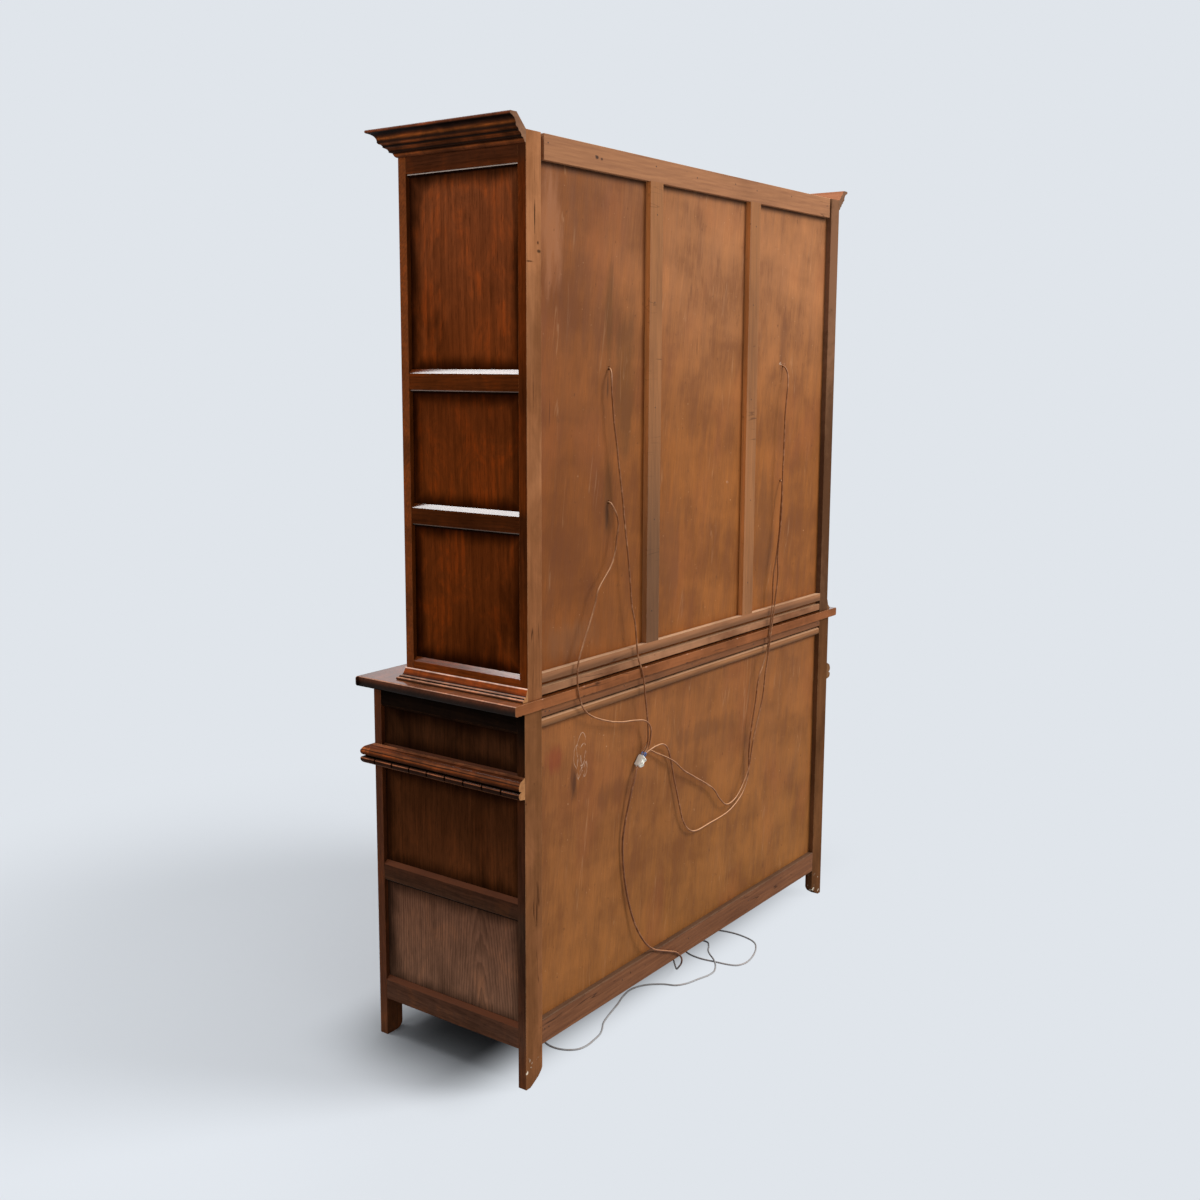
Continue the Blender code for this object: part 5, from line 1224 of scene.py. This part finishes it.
CORNICE = section_of([(0, -24.3), (2.4, -23.6), (4.6, -21.4), (6.2, -18.4), (7.2, -16)],
                     [(7.2, -16), (12, -15)], [(12, -15), (12.6, -12.2), (13.8, -9.8), (15.5, -8.1)],
                     [(15.5, -8.1), (20.5, -5.6)],
                     [(20.5, -5.6), (21, -3), (23, -0.7), (26, 0.8), (28.3, 2.9)],
                     [(28.3, 2.9), (28.7, 8.2), (31.4, 13.8), (36, 17.6), (41, 19.8)],
                     [(41, 19.8), (43.2, 20.4)], [(43.2, 20.4), (44.8, 21.8), (45, 24.4), (44, 26.2)],
                     [(44, 26.2), (26, 26.4)], [(26, 26.4), (0, 0.4)])
# The notches cut into the waist moulding's lower bead, 8 to 21 mm up
BEAD_CUT = np.where((WAIST[:, 1] < 21) & (WAIST[:, 1] > 8), NOTCH_CUT, 0)
moulding("waist_moulding", "base_waist_moulding", WAIST, CUPBOARD_TOP, BASE_HALF, BASE_FRONT,
         WAIST_FRONT_SCALE, [OAK["waist"], END_GRAIN], pitch=NOTCH_PITCH, cut=BEAD_CUT)
moulding("plinth_moulding", "hutch_plinth_moulding", PLINTH, HUTCH_LOW, HUTCH_HALF, HUTCH_FRONT, 1.0,
         [OAK["plinth"], END_GRAIN])
moulding("cornice_moulding", "hutch_cornice", CORNICE, HUTCH_TOP, HUTCH_HALF, HUTCH_FRONT, 1.0,
         [OAK["cornice"], RAW_SLOPE, DULL_END], hidden=1)

# The tabletop's rim, the round of its two front corners, and the chips in its back arris
RIM_POINTS = 15
RIM_ROUND = 0.0052
RIM_STRAIGHT = 0.0053
CORNER_R = 0.006
CHIP_STEPS = 420
CHIP_DEEP = 0.0013
# The sine waves whose sum says where the back arris is chipped: rate, start and weight
CHIP_WAVES = ((31, 0.4, 0.5), (83, 1.7, 0.6), (191, 0.2, 0.7), (417, 2.9, 0.6), (733, 1.1, 0.4))


def make_tabletop():
    """The tabletop: its rim's section carried round four sides, with the worn back arris chipped.

    At the front and sides the rim is straight in its middle, with a quarter round above and below.
    At the back it is square, and each point of the upper and lower arris is set in by a chip depth
    that changes along x.
    """
    low, high = corners_of("tabletop")
    turn = np.linspace(-math.pi / 2, math.pi / 2, RIM_POINTS)
    inset = RIM_ROUND * (1 - np.cos(turn))
    rise = np.where(turn < 0, -RIM_STRAIGHT, RIM_STRAIGHT) + RIM_ROUND * np.sin(turn)
    angle = np.linspace(0, math.pi / 2, 7)
    sine, cosine = np.sin(angle), np.cos(angle)
    xs = np.concatenate([high[0] - CORNER_R * (1 - sine), low[0] + CORNER_R * (1 - cosine)])
    ys = low[1] + CORNER_R * (1 - np.concatenate([cosine, sine]))
    back_x = np.linspace(low[0], high[0], CHIP_STEPS)
    ragged = sum(weight * np.sin(back_x * rate + start) for rate, start, weight in CHIP_WAVES)
    chips = CHIP_DEEP * np.clip(ragged - 0.9, 0, 1.4)
    chips[[0, -1]] = 0
    front = len(xs)
    plan = np.stack([np.append(xs, back_x), np.append(ys, np.full(CHIP_STEPS, high[1]))], axis=1)
    out = np.stack([np.concatenate([sine, -cosine, np.zeros(CHIP_STEPS)]),
                    np.concatenate([-cosine, -sine, np.ones(CHIP_STEPS)])], axis=1)
    out[front] = (-1, 0)
    out[-1] = (1, 0)
    bulged = np.append(np.ones(front), np.zeros(CHIP_STEPS))[:, None]
    bulged[[front, -1]] = 1
    chip = np.append(np.zeros(front), chips)
    set_in = inset * bulged
    set_in[:, [0, -1]] += chip[:, None]
    straight = np.linspace(low[2], high[2], RIM_POINTS)
    height = np.where(bulged > 0, (low[2] + high[2]) / 2 + rise, straight)
    height[:, -2] -= 1.2 * chip
    flat = plan[:, None, :] - out[:, None, :] * set_in[:, :, None]
    points = np.concatenate([flat, height[:, :, None]], axis=2).reshape(-1, 3)
    faces = quads(len(plan), RIM_POINTS, loop=True).tolist()
    faces += [list(range(edge, len(points), RIM_POINTS)) for edge in (0, RIM_POINTS - 1)]
    piece = add_piece("tabletop_board", points, faces, [OAK["tabletop"]], "stained_oak", crease=30)
    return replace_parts(piece, "tabletop")


make_tabletop()


# Doors' leading, knobs and lamps

# A came's width, how far it stands out, the points round it, and a door's columns and rows of diamonds
CAME = 0.006
CAME_DEEP = 0.002
CAME_POINTS = 9
DIAMONDS = (3, 7)
SOLDER = section_of([(0, 2.3), (2.4, 2.0), (4.4, 0.9), (5, 0)], [(5, 0), (0, 0)])


def lattice_lines(width, height, came, columns, rows):
    """The leading's centre lines: diamonds of half width a and half height c, and their border.

    Crossing (p, q), with p + q odd, lies at (p a, q c) from the border's corner, and is joined to
    the crossings (p + 1, q + 1) and (p + 1, q - 1) that lie on the light.
    """
    a, c = (width / 2 - came) / columns, (height / 2 - came) / rows
    p, q = np.meshgrid(np.arange(2 * columns + 1), np.arange(2 * rows + 1), indexing="ij")
    p, q = p.ravel(), q.ravel()
    crossing = (p + q) % 2 == 1
    place = np.stack([p * a, q * c], axis=1) - [columns * a, rows * c]
    lines = []
    for rise in (1, -1):
        near = place[crossing & (p < 2 * columns) & (q + rise >= 0) & (q + rise <= 2 * rows)]
        lines.append(np.stack([near, near + [a, rise * c]], axis=1))
    half_w, half_h = (width - came) / 2, (height - came) / 2
    corners = np.array([(-half_w, -half_h), (half_w, -half_h), (half_w, half_h), (-half_w, half_h)])
    border = np.stack([corners, np.roll(corners, -1, axis=0)], axis=1)
    return np.concatenate(lines + [border]), place[crossing]


def make_leading(tag):
    """Rounded lead cames: half an ellipse carried along each line, with solder at the crossings."""
    low, high = corners_of("hutch_door_cames_" + tag)
    lines, joints = lattice_lines(high[0] - low[0], high[2] - low[2], CAME, *DIAMONDS)
    middle = (low + high) / 2
    ahead = lines[:, 1] - lines[:, 0]
    ahead /= np.linalg.norm(ahead, axis=1, keepdims=True)
    beside = np.stack([-ahead[:, 1], ahead[:, 0]], axis=1)
    a = np.linspace(0, math.pi, CAME_POINTS)
    u, v = CAME / 2 * np.cos(a), CAME_DEEP * np.sin(a)
    flat = lines[:, :, None, :] + beside[:, None, None, :] * u[None, None, :, None]
    deep = np.broadcast_to(high[1] - v, flat.shape[:3])
    points = np.stack([flat[..., 0] + middle[0], deep, flat[..., 1] + middle[2]], axis=-1)
    parts = [(bar.reshape(-1, 3), capped(2, CAME_POINTS)) for bar in points]
    parts += [spun(SOLDER, 16, (middle[0] + x, high[1], middle[2] + z), TO_FRONT) for x, z in joints]
    piece = add_piece("leading_" + tag, *gathered(parts), [LEADING], "lead_came", "hutch_door_" + tag)
    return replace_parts(piece, "hutch_door_cames_" + tag)


# The sections of a lamp's holder and bulb, in millimetres from its axis and from its foot
LAMP_SIDES = 36
HOLDER = section_of([(0, 38), (6.3, 38)], [(6.3, 38), (7.6, 37.4), (8, 36.4)],
                    [(8, 36.4), (12.2, 35.4), (13, 34)], [(13, 34), (13, 9.2)],
                    [(13, 9.2), (15.4, 7.4), (16, 5)], [(16, 5), (16, 0)], [(16, 0), (0, 0)])
BULB = section_of([(0, 75), (2.2, 73.6), (5.4, 69.6), (9.2, 63.4), (11.8, 56.6), (11, 49.6), (8, 43),
                   (6.4, 39)], [(6.4, 39), (6.2, 36)], [(6.2, 36), (0, 36)])


def make_lamp(tag):
    """A small cabinet lamp: a round plastic base and holder, and a frosted candle bulb above it."""
    low, high = corners_of("cabinet_lamp_" + tag)
    foot = (*(low + high)[:2] / 2, low[2])
    base = add_piece("lamp_holder_" + tag, *spun(HOLDER, LAMP_SIDES, foot), [LAMP_WHITE], "lamp_plastic")
    add_piece("lamp_bulb_" + tag, *spun(BULB, LAMP_SIDES, foot), [FROST], "lamp_plastic", crease=60)
    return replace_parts(base, "cabinet_lamp_" + tag)


for tag in ("left", "right"):
    make_leading(tag)
    knob("turned_knob_hutch_" + tag, "hutch_door_knob_" + tag, "hutch_door_" + tag, OAK["knob"])
for tag in ("left", "centre", "right"):
    knob("turned_knob_base_" + tag, "base_door_knob_" + tag, "base_door_" + tag, OAK["knob"])
    knob("turned_knob_drawer_" + tag, "drawer_knob_" + tag, "drawer_" + tag, OAK["knob"])
for tag in HOLES:
    make_lamp(tag)

NAIL_HEAD = section_of([(0, 0.35), (1.0, 0.3), (1.6, 0)], [(1.6, 0), (1.2, -1.5)], [(1.2, -1.5), (0, -1.5)])
# Where the nails stand: across on the strips and rails, and up on the two muntins
NAILED_MUNTIN_X = 0.2075
TOP_STRIP_NAILS = (0.574, 0.42, 0.2075, 0.05, -0.11, -0.2075, -0.38, -0.574)
MUNTIN_NAILS = (0.92, 1.12, 1.36, 1.58, 1.76)
RAIL_NAILS = (0.588, 0.571, 0.31, 0.04, -0.24, -0.47, -0.584)


def make_nails():
    """Nail heads along the back strips: small domes, a little out of true, each on its strip."""
    _, high = corners_of("hutch_back_frame")
    spots = [(x, high[1], high[2] - 0.018) for x in TOP_STRIP_NAILS]
    for z in MUNTIN_NAILS:
        spots += [(NAILED_MUNTIN_X, high[1], z), (-NAILED_MUNTIN_X, high[1], z + 0.013)]
    for node, up in (("base_back_top_rail", 0.008), ("base_back_bottom_rail", 0.031)):
        low, high = corners_of(node)
        spots += [(x, high[1], low[2] + up) for x in RAIL_NAILS]
    parts = []
    for k, spot in enumerate(spots):
        shift = np.array([0.004 * math.sin(7.3 * k), 0, 0.003 * math.sin(3.1 * k + 1)])
        parts.append(spun(NAIL_HEAD, 12, np.array(spot) + shift, TO_BACK))
    add_piece("back_nails", *gathered(parts), [NAIL], "oak_strip")


make_nails()


# The carcass's own pieces keep their CAD shapes and take these finishes

def dress(nodes, finish):
    """Gives CAD pieces a finish on all their faces."""
    for name in nodes:
        for material_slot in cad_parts[name].material_slots:
            material_slot.link = "DATA"
            material_slot.material = finish


# Side frames' tones by height, which also paint the light on the sides, darkest under the tabletop
HUTCH_RAIL_TONES_AND_LIGHT = tints(0.0, (800, 92, 42, 15), (860, 96, 44, 14), (1120, 56, 25, 9), (1160, 60, 27, 9),
                    (1180, 84, 36, 9), (1380, 70, 31, 10), (1420, 76, 34, 11), (1460, 86, 37, 10),
                    (1800, 82, 36, 12), (1830, 66, 33, 17), (1870, 60, 30, 17))
BASE_RAIL_TONES_AND_LIGHT = tints(0.0, (0, 90, 52, 31), (100, 74, 49, 37), (160, 66, 40, 28), (350, 54, 36, 26),
                   (400, 55, 31, 20), (600, 56, 28, 14), (700, 40, 21, 11), (745, 20, 12, 8), (770, 15, 9, 6))

# Where the back posts' grain stands upright, and where their stain ends
POST = [((0, BACK_Y - 0.0099, 1), (FAR, 0.0101, FAR))]
POST_BACK = BACK_Y - 0.0006
POST_INNER = BASE_HALF - 0.03
RAW_POST = {"base_left": ((108, 70, 43), (84, 54, 33)), "base_right": ((143, 93, 59), (115, 74, 45)),
            "hutch_left": ((112, 78, 54), (90, 62, 43)), "hutch_right": ((166, 111, 73), (132, 84, 52))}

# Knocks and smudges on the right hutch post's back, and on the left one's back a lighter upper and a darker
# lower part
HUTCH_MARKS = {
    "right": (((0.6148, 1.722), (0.0026, 0.045), (50, 30, 20), 0.9),
              ((0.6055, 1.674), (0.004, 0.0045), (66, 38, 26), 0.85),
              ((0.603, 1.659), (0.008, 0.0045), (58, 42, 30), 0.85),
              ((0.63, 1.639), (0.014, 0.002), (66, 42, 28), 0.8),
              ((0.62, 1.40), (0.002, 0.05), (84, 50, 32), 0.7)),
    "left": (((-0.62, 1.70), (0.06, 0.42), (126, 89, 65), 0.9),
             ((-0.62, 1.08), (0.06, 0.34), (82, 54, 36), 0.85))}


def bead_light_and_shade(front, level, weight):
    """The box of the painted highlight line on the bead under a side rail, between the front stile and the
    back post.
    """
    return (0.0, (front + BACK_Y) / 2, level), (FAR, (BACK_Y - front) / 2 - 0.0203, 0.0009), weight


# Painted highlight lines on the beads under the side rails, each over a painted shade line, with their
# weights
HUTCH_BEAD_LIGHTS = [bead_light_and_shade(HUTCH_FRONT, 1.1297, 0.2), bead_light_and_shade(HUTCH_FRONT, 1.3987, 0.26),
               bead_light_and_shade(HUTCH_FRONT, 1.8157, 0.85)]
BASE_BEAD_LIGHTS = [bead_light_and_shade(BASE_FRONT, 0.3557, 0.14)]

# Each side panel: its lowest and highest edge, and its tones there, which also paint the light on the side
# and the shade under the tabletop
HUTCH_PANEL_TONES_AND_LIGHT = [(0.855, (80, 35, 9), 1.126, (84, 37, 11)), (1.172, (88, 39, 11), 1.395, (84, 37, 12)),
                (1.441, (99, 45, 15), 1.812, (110, 57, 30))]
BASE_PANEL_TONES_AND_LIGHT = [(0.127, (108, 76, 58), 0.352, (94, 62, 46)), (0.398, (72, 38, 18), 0.605, (54, 27, 12)),
               (0.657, (60, 33, 17), 0.737, (46, 24, 12))]
PANEL_X = 0.6396


def side_panel(name, seed, panels, front, **look):
    """A side sheet, its tones by height, with old stain and painted shade along the borders of each of its
    panels.
    """
    middle = (front + BACK_Y) / 2
    half = (BACK_Y - front) / 2 - 0.02
    borders = [((0.0, middle, (low + high) / 2), (FAR, half, (high - low) / 2)) for low, _, high, _ in panels]
    stops = [stop for low, foot, high, head in panels for stop in ((low, foot), (high, head))]
    return stained(name, "side", seed, stops, wear=0.0, borders=borders, sheen=0.0, satin=0.0, **look)


for number, (tag, panel_x) in enumerate((("left", -PANEL_X), ("right", PANEL_X))):
    dress(["hutch_side_frame_" + tag],
          stained("hutch side frame " + tag, "y", 21 + 2 * number, HUTCH_RAIL_TONES_AND_LIGHT, crossed=POST,
                  raw=(POST_BACK, *RAW_POST["hutch_" + tag], POST_INNER), marks=HUTCH_MARKS[tag],
                  lines=HUTCH_BEAD_LIGHTS, sheen=0.7, satin=0.0, soft=0.0012, wear=0.6))
    dress(["base_side_frame_" + tag],
          stained("base side frame " + tag, "y", 22 + 2 * number, BASE_RAIL_TONES_AND_LIGHT, crossed=POST,
                  raw=(POST_BACK, *RAW_POST["base_" + tag], POST_INNER), ledge_light=(86, 47, 28), lines=BASE_BEAD_LIGHTS,
                  sheen=0.1, satin=0.0, soft=0.0012, wear=0.2))
    dress(["hutch_side_panel_" + tag],
          side_panel("hutch side panel " + tag, 31 + 3 * number, HUTCH_PANEL_TONES_AND_LIGHT, HUTCH_FRONT, contrast=0.24,
                     figure=0.4, spacing=0.02, smudge=0.6, border_depth=0.8, mottle=0.14, amber=0.4))
    dress(["base_side_panel_" + tag],
          side_panel("base side panel " + tag, 41 + 3 * number, BASE_PANEL_TONES_AND_LIGHT, BASE_FRONT, contrast=0.32,
                     figure=0.12, low_figure=(0.37, 0.55), heart=(0.09, panel_x, 0.03), lean=0.13,
                     spacing=0.0064, border_depth=0.65, smudge=0.5, mottle=0.12, amber=0.12))

BASE_OAK = (86, 42, 20)
HUTCH_OAK = (96, 46, 18)
INNER_OAK = (98, 48, 22)
FACE_TINTS = tints(0.0, (20, 92, 54, 32), (100, 76, 41, 23), (300, 70, 36, 18), (700, 70, 35, 17),
                   (850, 98, 46, 14), (1850, 104, 51, 18))
STILES = {"base": [across(0.6258, 0.0233), ((MUNTIN_X, 0, 0.366), (MUNTIN_HALF, FAR, 0.239)),
                   ((MUNTIN_X, 0, 0.6995), (MUNTIN_HALF, FAR, 0.0425))],
          "hutch": [across(0.6177, 0.0217), ((MUNTIN_X, 0, 1.3325), (MUNTIN_HALF, FAR, 0.4825))]}
# How far before the face a hinge's brass begins, and how deep a drawer's stained front is
BRASS_BEFORE = 0.0001
DRAWER_FRONT_DEEP = 0.0185
# Half the width of the rails of each kind of door, and where the base doors' grain has its heart
BASE_RAIL_HALF = 0.029
HUTCH_RAIL_HALF = 0.021
HEART_OFF = (0.03, -0.04, 0.02)


def door_oak(node, seed, tint, front, rail, **look):
    """A door's oak, whose grain runs across in the lower and upper rail."""
    low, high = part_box(node)
    middle, half = (low[0] + high[0]) / 2, (high[0] - low[0]) / 2
    rails = [((middle, 0, z), (half - 2 * rail, FAR, rail)) for z in (low[2] + rail, high[2] - rail)]
    return stained(node.replace("_", " "), "z", seed, tint, crossed=rails, cross_axis="x",
                   brass=front - BRASS_BEFORE, satin=0.08, **look)


for part, front in (("base", BASE_FRONT), ("hutch", HUTCH_FRONT)):
    dress([part + "_face_frame"],
          stained(part + " face frame", "x", 51, FACE_TINTS, crossed=STILES[part], mirror=True,
                  brass=front - BRASS_BEFORE, satin=0.05))
for number, tag in enumerate(("left", "centre", "right")):
    node = "base_door_" + tag
    middle = (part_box(node)[0][0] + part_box(node)[1][0]) / 2
    dress([node],
          door_oak(node, 61 + 3 * number, BASE_OAK, BASE_FRONT, BASE_RAIL_HALF, figure=0.4, spacing=0.006,
                   lean=0.11, heart=(middle + HEART_OFF[number], BASE_FRONT, 0.05)))
    dress(["drawer_" + tag],
          stained("drawer " + tag, "x", 71 + 3 * number, BASE_OAK, satin=0.08, figure=0.3,
                  raw=(BASE_FRONT + DRAWER_FRONT_DEEP, (178, 138, 94), (150, 110, 70))))
for number, tag in enumerate(("left", "right")):
    node = "hutch_door_" + tag
    dress([node], door_oak(node, 81 + 3 * number, HUTCH_OAK, HUTCH_FRONT, HUTCH_RAIL_HALF))
    dress(["hutch_door_glass_" + tag], GLASS)
dress(["base_bottom_board", "base_shelf", "hutch_shelf_lower", "hutch_shelf_upper"],
      stained("shelves", "x", 91, INNER_OAK, satin=0.08))
dress(["hutch_bottom_board"],
      stained("hutch floor", "x", 93, INNER_OAK, satin=0.08, raw=(SHEET_IN, (158, 112, 80), (116, 74, 48))))
dress(["hutch_partition_left", "hutch_partition_right"],
      stained("partitions", "z", 97, INNER_OAK, satin=0.08))
dress(["hutch_top_board"],
      raw_wood("dusty top board", "x", 95, ((104, 70, 46), (136, 96, 64)), grime=0.4, spots=0.3))
dress(["base_drawer_deck"], raw_wood("raw deck board", "x", 99, ((150, 112, 74), (188, 150, 108)), grime=0.2))

# The strips on the back, whose lower edges are in shade
STRIP_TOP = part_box("hutch_back_frame")[0][2] + 0.019
BATTEN_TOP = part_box("base_back_batten")[1][2]
FOOT_RAIL_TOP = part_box("base_back_bottom_rail")[1][2]
dress(["hutch_back_frame"],
      raw_wood("hutch back strips", "x", 101, ((140, 92, 60), (168, 116, 79)), mirror=True,
               cracks=0.5, crossed=[((MUNTIN_X, 0, 1.34), (0.0245, FAR, 0.487))], spots=0.8,
               muntins=((148, 98, 60), (108, 74, 49)), arris=0.9,
               shade_falls=(STRIP_TOP - 0.002, STRIP_TOP - 0.017, 0.5),
               marks=(((0.4193, 1.8505), (0.008, 0.005), (46, 28, 20), 0.9),
                      ((0.404, 1.8492), (0.006, 0.004), (52, 32, 24), 0.8))))
dress(["base_back_top_rail"],
      raw_wood("base back rail", "x", 103, ((104, 63, 38), (136, 86, 52)), grime=0.5, spots=0.6, cracks=0.6,
               arris=0.5))
dress(["base_back_batten"],
      raw_wood("base back batten", "x", 105, ((132, 86, 52), (166, 114, 74)), grime=0.3, spots=0.6,
               arris=0.35, cracks=0.7, shade_falls=(BATTEN_TOP - 0.006, BATTEN_TOP - 0.015, 0.5)))
dress(["base_back_bottom_rail"],
      raw_wood("base back foot rail", "x", 107, ((100, 61, 38), (134, 87, 57)), grime=0.45, spots=0.9,
               arris=0.1, cracks=0.7, shade_falls=(FOOT_RAIL_TOP - 0.003, FOOT_RAIL_TOP - 0.0006, 0.5)))

# The back sheets' stains, two of them painted shadows of the flexes, and the pale loops scraped into them
HUTCH_STAINS_AND_SHADOWS = (
    ((0.5, 0.905), (0.13, 0.05), (142, 100, 68), 0.2), ((0.359, 1.55), (0.02, 0.16), (94, 58, 24), 0.5),
    # The two (52, 32, 18) marks below the right flex holes are painted shadows of the flexes
    ((0.358, 1.19), (0.024, 0.12), (90, 54, 22), 0.5), ((0.3625, 1.405), (0.0045, 0.036), (52, 32, 18), 0.6),
    ((0.364, 1.148), (0.008, 0.034), (52, 32, 18), 0.6), ((0.555, 1.70), (0.05, 0.14), (166, 108, 70), 0.6),
    ((-0.38, 1.50), (0.03, 0.10), (104, 62, 36), 0.4), ((0.30, 1.42), (0.05, 0.22), (96, 60, 24), 0.4),
    ((0.0217, 1.487), (0.0018, 0.03), (40, 24, 18), 0.9),
    ((0.0503, 1.615), (0.0018, 0.022), (70, 40, 26), 0.8),
    ((-0.0216, 0.90), (0.0016, 0.02), (64, 38, 24), 0.8), ((0.555, 1.36), (0.0015, 0.05), (70, 36, 20), 0.8),
    ((0.13, 1.05), (0.06, 0.2), (112, 68, 36), 0.4), ((-0.3, 1.05), (0.07, 0.2), (112, 68, 36), 0.4))
HUTCH_SCRAPES = (((-0.3655, 1.468), (0.014, 0.004), 0.3, 0.6), ((-0.1153, 1.19), (0.0022, 0.003), 0.9, 0.9))
BASE_STAINS = (
    ((0.4745, 0.593), (0.018, 0.055), (70, 40, 24), 0.8),
    ((0.5383, 0.662), (0.035, 0.04), (128, 56, 32), 0.6),
    ((0.30, 0.54), (0.16, 0.035), (104, 62, 32), 0.4), ((-0.05, 0.6), (0.2, 0.03), (104, 62, 32), 0.35))
BASE_SCRAPES = (
    ((0.462, 0.675), (0.014, 0.034), 0.035, 0.8), ((0.455, 0.655), (0.011, 0.03), 0.045, 0.8),
    ((0.468, 0.640), (0.008, 0.024), 0.05, 0.8), ((0.448, 0.63), (0.006, 0.016), 0.08, 0.7),
    ((0.474, 0.66), (0.011, 0.026), 0.04, 0.7), ((0.459, 0.622), (0.009, 0.015), 0.06, 0.6))
dress(["hutch_back_sheet"],
      back_sheet("hutch plywood", 2.7, (1.72, (151, 98, 59)), (1.2, (138, 82, 36)), ((119, 66, 27), 0.85),
                 1.827, HUTCH_STAINS_AND_SHADOWS, HUTCH_SCRAPES))
dress(["base_back_sheet"],
      back_sheet("base plywood", 5.9, (0.75, (133, 81, 40)), (0.1, (137, 86, 40)), ((138, 84, 43), 0.4),
                 0.75, BASE_STAINS, BASE_SCRAPES))


# The room: a plain pale floor, a pale world and soft lamps

PALE = shade(224, 229, 235)
FLOOR_TONE = (206, 211, 217)
SHADE_TONE = (52, 54, 56)
WORLD_FILL = 0.55
FLOOR_HALF = 12


def make_floor():
    """A wide floor in the backdrop's colour, with the soft shadow kept under and before the piece.

    Only the camera sees the backdrop's colour. All else, and the camera near the piece, sees a
    matt floor, with painted shade under the piece in its colour.
    """
    floor = bpy.data.materials.new("pale floor")
    floor.use_nodes = True
    floor.node_tree.nodes.clear()
    t = Nodes(floor.node_tree)
    place = t.add("TexCoord").outputs["Object"]
    x, y, _ = t.split(place)
    # Painted shade: the matt floor's colour turns to SHADE_TONE under the piece
    under = t.times(t.spread(x, 0.85, 0.56), t.spread(x, -0.75, -0.5),
                    t.times(t.spread(y, 0.25, 0.09), t.spread(y, -0.38, -0.08)))
    tone = t.blend(t.times(under, 0.94), FLOOR_TONE, SHADE_TONE)
    matt = t.add("BsdfDiffuse", {"Color": tone}).outputs[0]
    glow = t.add("Emission", {"Color": PALE, "Strength": 1.0}).outputs[0]
    away = t.length(t.vector("SUBTRACT", place, (0.35, -0.5, 0.0)))
    near = t.times(t.spread(away, 1.7, 0.62), t.spread(y, 0.235, 0.03))
    shown = t.add("MixShader", {0: near, 1: glow, 2: matt}).outputs[0]
    seen = t.add("LightPath").outputs["Is Camera Ray"]
    final = t.add("MixShader", {0: seen, 1: matt, 2: shown}).outputs[0]
    t.add("OutputMaterial", {"Surface": final})
    corners = [(-FLOOR_HALF, -FLOOR_HALF, 0), (FLOOR_HALF, -FLOOR_HALF, 0), (FLOOR_HALF, FLOOR_HALF, 0),
               (-FLOOR_HALF, FLOOR_HALF, 0)]
    mesh = bpy.data.meshes.new("floor")
    mesh.from_pydata(corners, [], [[0, 1, 2, 3]])
    mesh.materials.append(floor)
    piece = bpy.data.objects.new("floor", mesh)
    bpy.context.scene.collection.objects.link(piece)


def make_world():
    """A pale world: the backdrop's colour where it is seen, and a weaker plain white as light."""
    world = bpy.data.worlds.new("pale world")
    world.use_nodes = True
    world.node_tree.nodes.clear()
    t = Nodes(world.node_tree)
    path = t.add("LightPath").outputs
    shown = t.most(t.most(path["Is Camera Ray"], path["Is Glossy Ray"]), path["Is Transmission Ray"])
    soft = t.add("Background", {"Color": shade(255, 255, 255), "Strength": WORLD_FILL}).outputs[0]
    wall = t.add("Background", {"Color": PALE, "Strength": 1.0}).outputs[0]
    final = t.add("MixShader", {0: shown, 1: soft, 2: wall}).outputs[0]
    t.add("OutputWorld", {"Surface": final})
    bpy.context.scene.world = world


def add_lamp(name, place, target, size, power):
    """A round soft lamp that faces its target."""
    light = bpy.data.lights.new(name, "AREA")
    light.shape = "DISK"
    light.size = size
    light.energy = power
    lamp = bpy.data.objects.new(name, light)
    lamp.location = place
    lamp.rotation_euler = (Vector(target) - Vector(place)).to_track_quat("-Z", "Y").to_euler()
    bpy.context.scene.collection.objects.link(lamp)


make_floor()
make_world()
add_lamp("key", (-2.7, 4.0, 4.0), (0, 0.1, 1.0), 2.6, 238)
add_lamp("fill", (4.2, -0.6, 3.2), (0, 0, 0.9), 2.4, 60)
add_lamp("overhead", (1.2, -2.0, 3.9), (0.2, 0, 1.0), 1.2, 60)
bpy.context.scene.view_settings.view_transform = "Standard"
